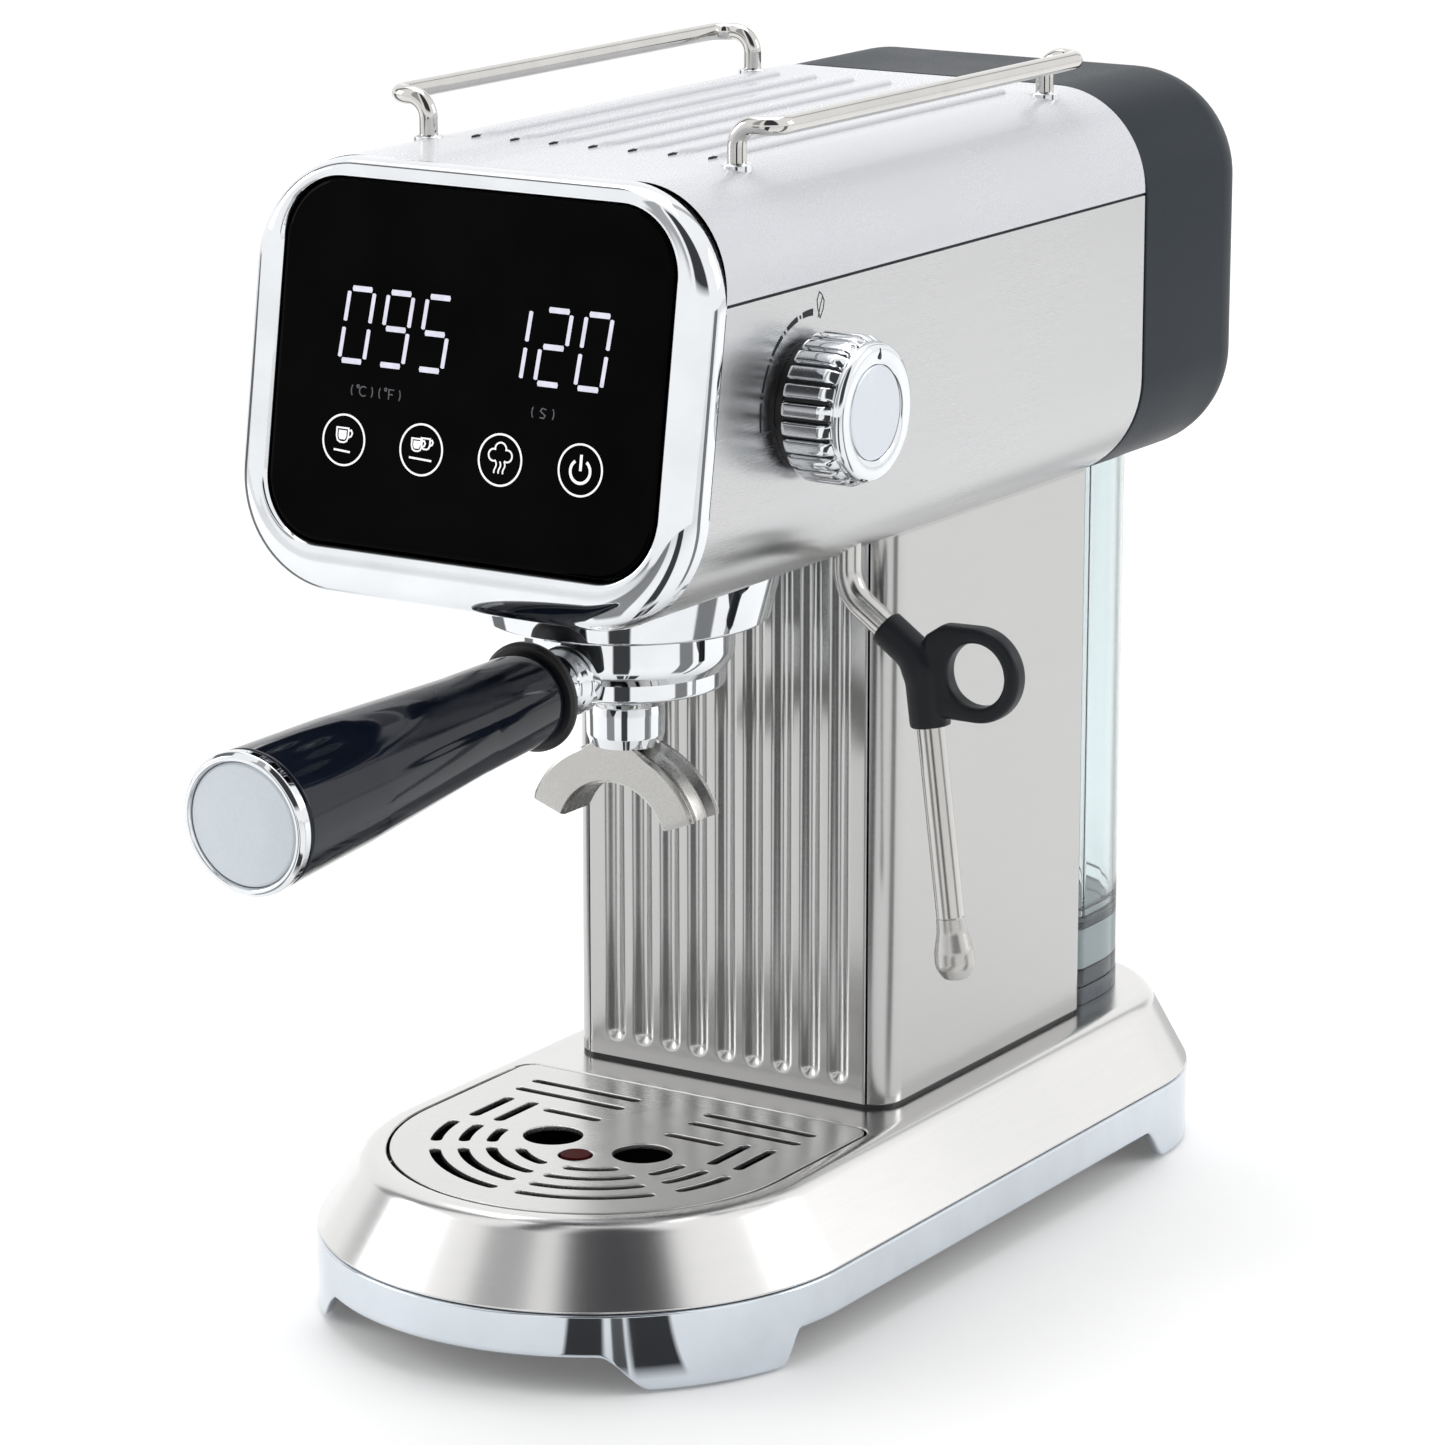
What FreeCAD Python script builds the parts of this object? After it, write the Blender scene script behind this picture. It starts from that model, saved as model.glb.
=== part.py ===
import FreeCAD, Part
import math
import os
import re
import Sketcher
from FreeCAD import Placement, Rotation, Vector

# Slim pump espresso machine with a thermoblock, a lever-free group and a rear water tank.
# Frame: origin on the worktop in the middle of the base's footprint, +Z up, -Y towards the user,
# +X on the side of the steam knob and wand. All sizes are in millimetres, all angles in degrees.

# ---------------------------------------------------------------- driving dimensions

SIZES = [
    # base
    ("base_width", 150), ("base_length", 310), ("base_corner", 55),
    ("leg_height", 10), ("leg_lift", 0.8), ("leg_slope", 9),
    ("front_window", 84), ("front_leg_reach", 58), ("rear_leg_reach", 64),
    ("plinth_top", 21.5), ("plinth_wall", 4),
    ("foot_radius", 8), ("foot_spread", 96), ("foot_front", 42), ("foot_rear", 37), ("base_plate_thick", 2),
    ("cover_top", 42.3), ("cover_inset", 13), ("cover_rear_inset", 7), ("cover_wall", 1.2), ("cover_round", 2.5),
    # drip tray
    ("grid_width", 111), ("grid_length", 103.5), ("grid_corner", 5), ("grid_thick", 1.6), ("grid_gap", 0.8),
    ("slot_width", 3), ("drain_radius", 8), ("drain_offset", 14.2), ("drain_forward", 0.5),
    ("ring_inner", 21), ("ring_step", 7.5), ("long_slot_end", 44), ("slot_start", 12), ("short_slot_end", 27),
    ("side_slot_inner", 34), ("side_slot_outer", 42), ("side_slot_front", 3), ("side_slot_rear", 19),
    ("row_near", 16.5), ("row_middle", 28), ("row_far", 36),
    ("float_radius", 4), ("float_gap", 0.6), ("float_forward", 11), ("float_proud", 0.4),
    ("basin_wall", 1.5), ("basin_inset", 1.2), ("basin_floor_gap", 0.4),
    # tower
    ("tower_width", 102), ("tower_front", -17), ("tower_depth", 110.6), ("tower_corner", 9), ("sheet", 1.5),
    ("tower_tuck", 3.5), ("panel_width", 89), ("panel_gap", 0.5), ("panel_thick", 5),
    ("flute_pitch", 9), ("flute_width", 7), ("flute_depth", 2), ("flute_foot", 5),
    # head
    ("head_width", 138.6), ("head_bottom", 199), ("head_height", 109), ("head_corner", 30), ("head_rear", 88.7),
    ("seam_height", 280), ("seam_gap", 0.4), ("face_seam", -126.2), ("face_lean", 9),
    ("roof_wall", 2), ("rib_pitch", 12), ("rib_radius", 2.2), ("rib_height", 0.8), ("rib_length", 150),
    ("rail_radius", 2.5), ("rail_spread", 93.6), ("rail_length", 157), ("rail_middle", -7.3),
    ("rail_rise", 15.6), ("rail_lean", 45), ("rail_bend", 8), ("ferrule_radius", 4.5), ("ferrule_height", 2.6),
    ("ferrule_sink", 3),
    # face
    ("bezel_depth", 8), ("bezel_lip", 2.5), ("glass_width", 116), ("glass_height", 91), ("glass_raise", 3.5),
    ("glass_corner", 16), ("glass_thick", 3), ("glass_recess", 1), ("glass_gap", 0.3), ("glass_ledge", 4),
    ("board_thick", 1.6), ("board_margin", 6),
    # group
    ("group_y", -66), ("shroud_flare", 3.5), ("shroud_height", 15), ("shroud_wall", 2), ("shroud_play", 0.5),
    ("group_wall", 1.3), ("group_rise", 6), ("cup_gap", 2.4), ("lug_gap", 0.8),
    ("groove_low", 186), ("groove_high", 191.4), ("gasket_seat", 195), ("gasket_cover", 1.6),
    ("gasket_band", 4.4), ("water_bore", 3), ("screen_gap", 0.8), ("screen_thick", 1.6),
    ("shower_screw_radius", 4), ("shower_screw_head", 1.5),
    # portafilter
    ("cup_radius", 28.8), ("cup_wall", 2.2), ("cup_top", 189.8), ("cup_bottom", 163), ("cup_floor", 3),
    ("cup_round", 8), ("lug_proud", 4.6), ("lug_half", 6), ("lug_thick", 2.4), ("basket_rim", 1.2),
    ("basket_play", 0.4), ("basket_wall", 0.6), ("basket_depth", 20), ("seal_gap", 0.3),
    ("handle_gap", 14.2), ("handle_z", 171), ("handle_droop", 2.9), ("neck_radius", 8), ("collar_radius", 14.5),
    ("collar_length", 3), ("grip_length", 116), ("grip_small", 12.2), ("grip_large", 18), ("end_ring", 4),
    ("end_ring_wall", 2.4), ("disc_thick", 3), ("spout_nut_radius", 10.4), ("spout_nut_height", 13),
    ("spout_outer", 27), ("spout_inner", 16.5), ("spout_lean", 20), ("spout_width", 14),
    # steam knob
    ("knob_y", -87.5), ("knob_z", 250), ("knob_radius", 19), ("knob_gap", 2.2), ("knob_ring_radius", 16.5),
    ("knob_length", 12.5), ("knob_taper", 5), ("knob_face_radius", 16.5), ("knob_disc_radius", 12),
    ("knob_disc_sink", 0.8), ("knob_flutes", 24), ("knob_flute_radius", 1.6), ("stem_radius", 3),
    ("stem_gap", 0.06), ("valve_width", 22), ("valve_length", 20), ("valve_side", 60),
    # steam wand
    ("wand_x", 53.7), ("wand_y", -43), ("wand_radius", 3.7), ("wand_wall", 1), ("swivel_radius", 5.4),
    ("swivel_bottom", 211), ("swivel_top", 220), ("socket_radius", 7.5), ("socket_top", 217),
    ("fit_gap", 0.3), ("wand_drop", 192.4), ("elbow_x", 77), ("elbow_z", 176),
    ("wand_end_x", 85.6), ("wand_end_z", 109.5), ("wand_bend", 12), ("sleeve_radius", 5), ("sleeve_start", 0.5),
    ("sleeve_end", 159.5), ("finger_x", 93.5), ("finger_z", 175), ("finger_radius", 12.6), ("finger_hole", 8.5),
    ("finger_thick", 6), ("tip_length", 17), ("tip_radius", 5.2), ("steam_pipe_radius", 2), ("steam_pipe_z", 230),
    ("steam_pipe_bend", 5),
    # tank
    ("tank_front", 94.6), ("tank_rear", 146), ("tank_width", 98), ("tank_corner", 38), ("tank_edge", 4),
    ("tank_wall", 2), ("tank_top", 214), ("tank_gap", 0.1), ("seat_height", 5), ("seat_floor", 2),
    ("spigot_radius", 8), ("spigot_drop", 3), ("spigot_y", 120),
    ("cap_gap", 0.5), ("cap_length", 68), ("cap_round", 22), ("cap_wall", 2.5), ("cap_clearance", 1),
    # inside
    ("chassis_width", 94), ("cheek_thick", 3), ("chassis_front", -8), ("chassis_depth", 84), ("shelf_thick", 2),
    ("pump_shelf", 54), ("pump_radius", 17), ("pump_length", 92), ("pump_y", 30),
    ("thermoblock_width", 64), ("thermoblock_rear", 48), ("thermoblock_height", 38),
    ("thermoblock_gap", 4.5), ("shelf_gap", 2.5), ("fin_depth", 4), ("fin_pitch", 12), ("hose_radius", 3), ("hose_hole", 4),
    ("hose_bend", 12), ("hose_low", 29), ("solenoid_width", 24), ("solenoid_height", 30),
    ("board_width", 84), ("board_height", 60), ("board_low", 214), ("gland_radius", 7), ("gland_bore", 3.6),
    ("gland_length", 14), ("gland_z", 29),
]

# Sizes that follow from others by a fit or a clearance.
FITTED = [
    ("cup_bore", "cup_radius - cup_wall"), ("basket_radius", "cup_bore - basket_play"),
    ("lug_reach", "cup_radius + lug_proud"), ("group_mouth", "cup_radius + cup_gap"),
    ("lug_groove", "lug_reach + lug_gap"), ("group_radius", "lug_groove + group_wall"),
    ("gasket_outer", "cup_radius + gasket_cover"), ("gasket_inner", "gasket_outer - gasket_band"),
    ("screen_radius", "gasket_inner - screen_gap"),
    ("shroud_foot_radius", "group_radius + shroud_play + shroud_wall"),
    ("shroud_top_radius", "shroud_foot_radius + shroud_flare"), ("handle_reach", "cup_radius + handle_gap"),
    ("shelf_front", "group_y + group_radius + shelf_gap"),
    ("thermoblock_y", "group_y + group_radius + thermoblock_gap"),
    ("thermoblock_length", "thermoblock_rear - thermoblock_y"),
]

doc = FreeCAD.newDocument("EspressoMachine")
sheet = doc.addObject("Spreadsheet::Sheet", "Sizes")
for row, (alias, size) in enumerate(SIZES + FITTED, start=1):
    sheet.set(f"A{row}", alias)
    sheet.setAlias(f"B{row}", alias)
    sheet.set(f"B{row}", f"={size}")
doc.recompute()

# Places that several pieces share, as formulas of the sheet's cells.
NOSE = "((base_width - base_length) / 2)"
REAR = "(base_length / 2)"
PLATE_TOP = "(leg_height + base_plate_thick)"
GRID_BOTTOM = "(cover_top - grid_thick)"
GRID_REAR = f"({NOSE} - grid_width / 2 + grid_length)"
TOWER_TOP = "(head_bottom + tower_tuck)"
HEAD_TOP = "(head_bottom + head_height)"
HEAD_MIDDLE = "(head_bottom + head_height / 2)"
HEAD_SIDE = "(head_width / 2)"
FACE_MIDDLE = f"(face_seam + ({HEAD_MIDDLE} - seam_height) * tan(face_lean))"
GLASS_FLOOR = "(bezel_depth - glass_recess - glass_thick)"
SHELF_TOP = f"({TOWER_TOP} + shelf_thick)"
TANK_FLOOR = "(cover_top + seat_height + tank_gap)"
CAP_FRONT = "(head_rear + cap_gap)"
SPOUT_MIDDLE = "(cup_bottom - spout_nut_height - spout_outer)"

# ---------------------------------------------------------------- helpers

ALIASES = re.compile(r"\b(" + "|".join(alias for alias, size in SIZES + FITTED) + r")\b")
finished = []


def bound(formula):
    """A formula with each alias written as a reference to its cell."""
    return ALIASES.sub(r"Sizes.\1", str(formula))


def value(formula):
    """The formula's present value, in millimetres or degrees."""
    return float(sheet.evalExpression(bound(formula)))


def bind(thing, path, formula):
    """Tie one property or constraint of a document object to the sheet."""
    thing.setExpression(path, bound(formula))


def place(thing, at, turn=None):
    """Place a document object at three formulas; turn is (axis, angle formula)."""
    if turn:
        thing.Placement = Placement(Vector(), Rotation(Vector(*turn[0]), value(turn[1])))
        bind(thing, "Placement.Rotation.Angle", turn[1])
    for axis, formula in zip("xyz", at):
        bind(thing, f"Placement.Base.{axis}", formula)


def finish(thing, label):
    """Name a sub-part and keep it for export."""
    thing.Label = label
    finished.append(thing)
    return thing


class Sketch:
    """A sketch on one of a body's origin planes, with every size tied to the sheet."""

    def __init__(self, body, plane="XY", height=0):
        support = next(item for item in body.Origin.OriginFeatures if item.Role == plane + "_Plane")
        self.item = body.newObject("Sketcher::SketchObject", "Sketch")
        self.item.AttachmentSupport = (support, [""])
        self.item.MapMode = "FlatFace"
        self.item.AttachmentOffset = Placement(Vector(0, 0, value(height)), Rotation())
        bind(self.item, "AttachmentOffset.Base.z", height)

    def add(self, geometry):
        self.item.addGeometry(geometry, False)
        return self.item.GeometryCount - 1

    def rule(self, *words):
        return self.item.addConstraint(Sketcher.Constraint(*words))

    def hold(self, geometry, point, kind, formula):
        """Hold one point's distance from the origin along X (DistanceX) or Y (DistanceY)."""
        if formula == 0:
            self.rule("PointOnObject", geometry, point, -2 if kind == "DistanceX" else -1)
        else:
            number = self.rule(kind, -1, 1, geometry, point, value(formula))
            bind(self.item, f"Constraints[{number}]", formula)

    def tie(self, geometry, point, x, y):
        """Hold one point at the coordinates x, y."""
        self.hold(geometry, point, "DistanceX", x)
        self.hold(geometry, point, "DistanceY", y)

    def radius(self, geometry, formula):
        number = self.rule("Radius", geometry, value(formula))
        bind(self.item, f"Constraints[{number}]", formula)

    def circle(self, x, y, radius):
        number = self.add(Part.Circle(Vector(value(x), value(y)), Vector(0, 0, 1), value(radius)))
        self.tie(number, 3, x, y)
        self.radius(number, radius)
        return self

    def polygon(self, *points):
        """Straight sides through the points, in order, closed."""
        corners = [Vector(value(x), value(y)) for x, y in points]
        sides = [self.add(Part.LineSegment(corner, corners[(index + 1) % len(corners)]))
                 for index, corner in enumerate(corners)]
        for side, (x, y) in zip(sides, points):
            self.tie(side, 1, x, y)
        for index, side in enumerate(sides):
            self.rule("Coincident", side, 2, sides[(index + 1) % len(sides)], 1)
        return self

    def belt(self, *circles):
        """The outline of a belt round circles (x, y, radius), given anticlockwise."""
        discs = [(Vector(value(x), value(y)), value(radius)) for x, y, radius in circles]
        count = len(discs)
        normals = []
        for index, (centre, radius) in enumerate(discs):
            other, other_radius = discs[(index + 1) % count]
            along = other - centre
            lean = (radius - other_radius) / along.Length
            along.normalize()
            outward = Vector(along.y, -along.x)
            normals.append(along * lean + outward * math.sqrt(1 - lean * lean))
        arcs, sides = [], []
        for index, (centre, radius) in enumerate(discs):
            other, other_radius = discs[(index + 1) % count]
            start, end = normals[index - 1], normals[index]
            circle = Part.Circle(centre, Vector(0, 0, 1), radius)
            arcs.append(self.add(Part.ArcOfCircle(circle, math.atan2(start.y, start.x), math.atan2(end.y, end.x))))
            sides.append(self.add(Part.LineSegment(centre + end * radius, other + end * other_radius)))
        for arc, (x, y, radius) in zip(arcs, circles):
            self.tie(arc, 3, x, y)
            self.radius(arc, radius)
        for index in range(count):
            self.rule("Tangent", arcs[index], 2, sides[index], 1)
            self.rule("Tangent", sides[index], 2, arcs[(index + 1) % count], 1)
        return self

    def rounded_box(self, half_width, half_height, corner, x=0, y=0):
        """A rectangle with round corners about the point x, y."""
        far_x, far_y = f"({half_width} - {corner})", f"({half_height} - {corner})"
        return self.belt(*((f"{x} {sx} {far_x}", f"{y} {sy} {far_y}", corner)
                           for sx, sy in (("-", "-"), ("+", "-"), ("+", "+"), ("-", "+"))))

    def curved_slot(self, y, ring, start, end, width):
        """A slot of the given width along a ring about (0, y), between two angles."""
        centre = Vector(0, value(y))
        middle, half = value(ring), value(width) / 2
        low, high = math.radians(start), math.radians(end)
        normal = Vector(0, 0, 1)

        def ring_arc(radius):
            return self.add(Part.ArcOfCircle(Part.Circle(centre, normal, radius), low, high))

        def cap(angle, turn):
            spot = centre + Vector(math.cos(angle), math.sin(angle)) * middle
            return self.add(Part.ArcOfCircle(Part.Circle(spot, normal, half), turn, turn + math.pi))

        outer, inner = ring_arc(middle + half), ring_arc(middle - half)
        last, first = cap(high, high), cap(low, low + math.pi)
        self.tie(outer, 3, 0, y)
        self.radius(outer, f"{ring} + {width} / 2")
        self.rule("Coincident", inner, 3, outer, 3)
        self.tie(last, 3, f"{ring} * cos({end})", f"{y} + {ring} * sin({end})")
        self.hold(first, 3, "DistanceY", f"{y} + {ring} * sin({start})")
        self.rule("Tangent", outer, 2, last, 1)
        self.rule("Tangent", last, 2, inner, 2)
        self.rule("Tangent", outer, 1, first, 2)
        self.rule("Tangent", first, 1, inner, 1)
        return self


def new_body(label, at=(0, 0, 0), turn=None):
    body = doc.addObject("PartDesign::Body", "Body")
    place(body, at, turn)
    return finish(body, label)


def pad(body, sketch, length, both=False, back=False):
    feature = body.newObject("PartDesign::Pad", "Pad")
    feature.Profile = sketch.item
    feature.Midplane, feature.Reversed = both, back
    bind(feature, "Length", length)
    doc.recompute()
    return feature


def pocket(body, sketch, depth=None, both=False, back=False):
    """Cut a sketch's outline to a depth, or right through."""
    before = body.Shape.Volume
    feature = body.newObject("PartDesign::Pocket", "Pocket")
    feature.Profile = sketch.item
    feature.Midplane, feature.Reversed = both, back
    if depth is None:
        feature.Type = "ThroughAll"
    else:
        bind(feature, "Length", depth)
    doc.recompute()
    if body.Shape.Volume > before - 1e-3:
        raise RuntimeError(f"{body.Label}: a pocket removed nothing")
    return feature


def revolve(body, sketch, axis="V_Axis"):
    feature = body.newObject("PartDesign::Revolution", "Revolution")
    feature.Profile = sketch.item
    feature.ReferenceAxis = (sketch.item, [axis])
    feature.Angle = 360
    doc.recompute()
    return feature


def loft(body, sketch, *others, cut=False):
    kind = "Subtractive" if cut else "Additive"
    feature = body.newObject(f"PartDesign::{kind}Loft", "Loft")
    feature.Profile = sketch.item
    feature.Sections = [other.item for other in others]
    doc.recompute()
    return feature


def round_edges(body, radius, chosen):
    """Fillet the body's edges for which chosen(edge) is true."""
    tip = body.Tip
    names = [f"Edge{number}" for number, edge in enumerate(tip.Shape.Edges, start=1) if chosen(edge)]
    if not names:
        raise RuntimeError(f"{body.Label}: no edge to round")
    feature = body.newObject("PartDesign::Fillet", "Fillet")
    feature.Base = (tip, names)
    bind(feature, "Radius", radius)
    doc.recompute()
    return feature


def repeat(body, feature, axis, count, length=None):
    """Repeat a feature along an axis, or round it when no length is given."""
    kind = "LinearPattern" if length else "PolarPattern"
    pattern = body.newObject(f"PartDesign::{kind}", kind)
    pattern.Originals = [feature]
    if length:
        pattern.Direction = axis
        bind(pattern, "Length", length)
    else:
        pattern.Axis = axis
        pattern.Angle = 360
    bind(pattern, "Occurrences", count)
    body.Tip = pattern
    doc.recompute()
    return pattern


def mirror(body, *features):
    """Repeat features on the other side of the middle plane."""
    side = next(item for item in body.Origin.OriginFeatures if item.Role == "YZ_Plane")
    mirrored = body.newObject("PartDesign::Mirrored", "Mirrored")
    mirrored.Originals = list(features)
    mirrored.MirrorPlane = (side, [""])
    body.Tip = mirrored
    doc.recompute()
    return mirrored


def block(size, at):
    """A box of three formulas, with its lowest corner at three formulas."""
    item = doc.addObject("Part::Box", "Block")
    for path, formula in zip(("Length", "Width", "Height"), size):
        bind(item, path, formula)
    place(item, at)
    return item


def rod(radius, length, at, turn=None):
    item = doc.addObject("Part::Cylinder", "Rod")
    bind(item, "Radius", radius)
    bind(item, "Height", length)
    place(item, at, turn)
    return item


def cone(low_radius, high_radius, length, at, turn=None):
    item = doc.addObject("Part::Cone", "Cone")
    bind(item, "Radius1", low_radius)
    bind(item, "Radius2", high_radius)
    bind(item, "Height", length)
    place(item, at, turn)
    return item


def cut(base, tool):
    item = doc.addObject("Part::Cut", "Cut")
    item.Base, item.Tool = base, tool
    return item


def fuse(*pieces):
    item = doc.addObject("Part::MultiFuse", "Fuse")
    item.Shapes = list(pieces)
    return item


def bent_path(points, bend):
    """Straight runs through points, joined by tangent arcs of radius bend."""
    edges, start = [], points[0]
    for before, corner, after in zip(points, points[1:], points[2:]):
        back, ahead = (before - corner).normalize(), (after - corner).normalize()
        half = back.getAngle(ahead) / 2
        reach = bend / math.tan(half)
        middle = (back + ahead).normalize()
        arc_start, arc_end = corner + back * reach, corner + ahead * reach
        arc_top = corner + middle * (bend / math.sin(half) - bend)
        edges += [Part.LineSegment(start, arc_start).toShape(), Part.Arc(arc_start, arc_top, arc_end).toShape()]
        start = arc_end
    edges.append(Part.LineSegment(start, points[-1]).toShape())
    return Part.Wire(edges)


def tube_shape(points, bend, radius, bore=0):
    """A round bar or tube along bent_path, with its ends square to the first and last runs."""
    path = bent_path(points, bend)
    direction = points[1] - points[0]

    def swept(size):
        ring = Part.Wire(Part.Circle(points[0], direction, size).toShape())
        return path.makePipeShell([ring], True, False)

    return swept(radius).cut(swept(bore)) if bore else swept(radius)


def free_shape(label, shape, at=Vector(), rotation=None):
    item = doc.addObject("Part::Feature", "Shape")
    item.Shape = shape
    item.Placement = Placement(at, rotation or Rotation())
    return finish(item, label)


def level(edge, height):
    """True for an edge lying at one height."""
    return abs(edge.BoundBox.ZMin - height) < 1e-3 and abs(edge.BoundBox.ZMax - height) < 1e-3


FORWARD = ((1, 0, 0), "90")

# ---------------------------------------------------------------- base

def base_outline(sketch, inset=0, rear_inset=None):
    """The footprint: a half circle in front, straight sides and two large rear corners."""
    rear = inset if rear_inset is None else rear_inset
    corner = f"(base_corner - {inset})"
    rear_x = f"(base_width / 2 - {inset} - {corner})"
    rear_y = f"({REAR} - {rear} - {corner})"
    return sketch.belt((0, NOSE, f"(base_width / 2 - {inset})"), (rear_x, rear_y, corner),
                       (f"-{rear_x}", rear_y, corner))


def tray_outline(sketch, inset=0):
    """The tray's plan: a half circle in front and a straight rear edge with small corners."""
    half = f"(grid_width / 2 - ({inset}))"
    corner_x = f"({half} - grid_corner)"
    corner_y = f"({GRID_REAR} - ({inset}) - grid_corner)"
    return sketch.belt((0, NOSE, half), (corner_x, corner_y, "grid_corner"),
                       (f"-{corner_x}", corner_y, "grid_corner"))


def make_plinth():
    body = new_body("plinth")
    pad(body, base_outline(Sketch(body, height="leg_lift")), "plinth_top - leg_lift")
    pocket(body, base_outline(Sketch(body), "plinth_wall"), back=True)
    front = Sketch(body, "XZ").polygon(
        ("-front_window / 2 - leg_slope", "-1"), ("front_window / 2 + leg_slope", "-1"),
        ("front_window / 2", "leg_height"), ("-front_window / 2", "leg_height"))
    pocket(body, front, both=True)
    ahead, behind = f"(-{REAR} + front_leg_reach)", f"({REAR} - rear_leg_reach)"
    side = Sketch(body, "YZ").polygon(
        (f"{ahead} - leg_slope / 2", "-1"), (f"{behind} + leg_slope", "-1"),
        (behind, "leg_height"), (ahead, "leg_height"))
    pocket(body, side, both=True)


def make_base_plate():
    body = new_body("base_plate")
    pad(body, base_outline(Sketch(body, height="leg_height"), "plinth_wall"), "base_plate_thick")


def make_foot_pads():
    for side, sx in (("left", "-"), ("right", "+")):
        for end, y in (("front", f"(-{REAR} + foot_front)"), ("rear", f"({REAR} - foot_rear)")):
            finish(rod("foot_radius", "leg_height", (f"0 {sx} foot_spread / 2", y, 0)), f"foot_{end}_{side}")


def make_base_cover():
    body = new_body("base_cover")
    edge_height = "(cover_top - cover_round)"
    low = base_outline(Sketch(body, height="plinth_top"), 0)
    edge = base_outline(Sketch(body, height=edge_height), "(cover_inset - cover_round)",
                        "(cover_rear_inset - cover_round)")
    loft(body, low, edge)
    edge = base_outline(Sketch(body, height=edge_height), "(cover_inset - cover_round)",
                        "(cover_rear_inset - cover_round)")
    high = base_outline(Sketch(body, height="cover_top"), "cover_inset", "cover_rear_inset")
    loft(body, edge, high)
    low_inside = base_outline(Sketch(body, height="plinth_top"), "cover_wall")
    high_inside = base_outline(Sketch(body, height="cover_top - cover_wall"), "(cover_inset + cover_wall)",
                               "(cover_rear_inset + cover_wall)")
    loft(body, low_inside, high_inside, cut=True)
    pocket(body, tray_outline(Sketch(body, height="cover_top"), "-grid_gap"), "cover_wall + 1")
    holes = Sketch(body, height="cover_top")
    holes.circle(0, "pump_y", "hose_hole").circle(0, "spigot_y", "spigot_radius + 1")
    pocket(body, holes, "cover_wall + 1")
    gland = Sketch(body, "XZ", f"-{REAR} - 5").circle(0, "gland_z", "gland_radius")
    pocket(body, gland, "base_corner / 2", back=True)


def make_cord_gland():
    at = (0, f"{REAR} + 1", "gland_z")
    gland = cut(rod("gland_radius", "gland_length", at, FORWARD), rod("gland_bore", "gland_length", at, FORWARD))
    finish(gland, "cord_gland")


# ---------------------------------------------------------------- drip tray

def make_drip_basin():
    body = new_body("drip_basin")
    floor = f"({PLATE_TOP} + basin_floor_gap)"
    pad(body, tray_outline(Sketch(body, height=floor), "basin_inset"), f"{GRID_BOTTOM} - {floor}")
    pocket(body, tray_outline(Sketch(body, height=GRID_BOTTOM), "basin_inset + basin_wall"),
           f"{GRID_BOTTOM} - {floor} - basin_wall")


def make_drip_grid():
    body = new_body("drip_grid")
    top = f"({GRID_BOTTOM} + grid_thick)"
    pad(body, tray_outline(Sketch(body, height=GRID_BOTTOM)), "grid_thick")
    half = "slot_width / 2"
    rows = Sketch(body, height=top)
    for behind, end in (("row_near", "short_slot_end"), ("row_middle", "long_slot_end"), ("row_far", "long_slot_end")):
        rows.belt(("slot_start", f"{NOSE} + {behind}", half), (end, f"{NOSE} + {behind}", half))
    for across in ("side_slot_inner", "side_slot_outer"):
        rows.belt((across, f"{NOSE} + side_slot_front", half), (across, f"{NOSE} + side_slot_rear", half))
    straight = pocket(body, rows)
    rings = Sketch(body, height=top)
    for index, first, last in ((0, 278, 318), (1, 274, 323), (2, 274, 323), (3, 274, 323),
                               (1, 331, 355), (2, 331, 355), (3, 331, 355)):
        rings.curved_slot(NOSE, f"(ring_inner + ring_step * {index})", first, last, "slot_width")
    curved = pocket(body, rings)
    drain = pocket(body, Sketch(body, height=top).circle("drain_offset", f"{NOSE} - drain_forward", "drain_radius"))
    mirror(body, straight, curved, drain)
    pocket(body, Sketch(body, height=top).circle(0, f"{NOSE} - float_forward", "float_radius + float_gap"))


def make_float():
    floor = f"({PLATE_TOP} + basin_floor_gap + basin_wall)"
    finish(rod("float_radius", f"cover_top + float_proud - {floor}", (0, f"{NOSE} - float_forward", floor)), "float")


# ---------------------------------------------------------------- tower

def tower_outline(sketch, inset=0):
    """The tower's plan, seen from above."""
    return sketch.rounded_box(f"(tower_width / 2 - ({inset}))", f"(tower_depth / 2 - ({inset}))",
                              f"(tower_corner - ({inset}))", y="tower_front + tower_depth / 2")


def make_tower_shell():
    body = new_body("tower_shell")
    pad(body, tower_outline(Sketch(body, height="cover_top")), f"{TOWER_TOP} - cover_top")
    pocket(body, tower_outline(Sketch(body, height="cover_top"), "sheet"), back=True)
    side = "(panel_width / 2 + panel_gap)"
    window = Sketch(body, height="cover_top").polygon(
        (f"-{side}", "tower_front - 1"), (side, "tower_front - 1"),
        (side, "tower_front + sheet + 1"), (f"-{side}", "tower_front + sheet + 1"))
    pocket(body, window, back=True)


def make_tower_panel():
    body = new_body("tower_panel")
    side, back = "(panel_width / 2)", "(tower_front + panel_thick)"
    plan = Sketch(body, height="cover_top").polygon(
        (f"-{side}", "tower_front"), (side, "tower_front"), (side, back), (f"-{side}", back))
    pad(body, plan, "head_bottom - panel_gap - cover_top")
    flute_radius = "((flute_width ^ 2 / 4 + flute_depth ^ 2) / (2 * flute_depth))"
    first = Sketch(body, height="cover_top + flute_foot").circle(
        "-4 * flute_pitch", f"tower_front + flute_depth - {flute_radius}", flute_radius)
    flute = pocket(body, first, back=True)
    repeat(body, flute, (first.item, ["H_Axis"]), "9", "8 * flute_pitch")


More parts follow.
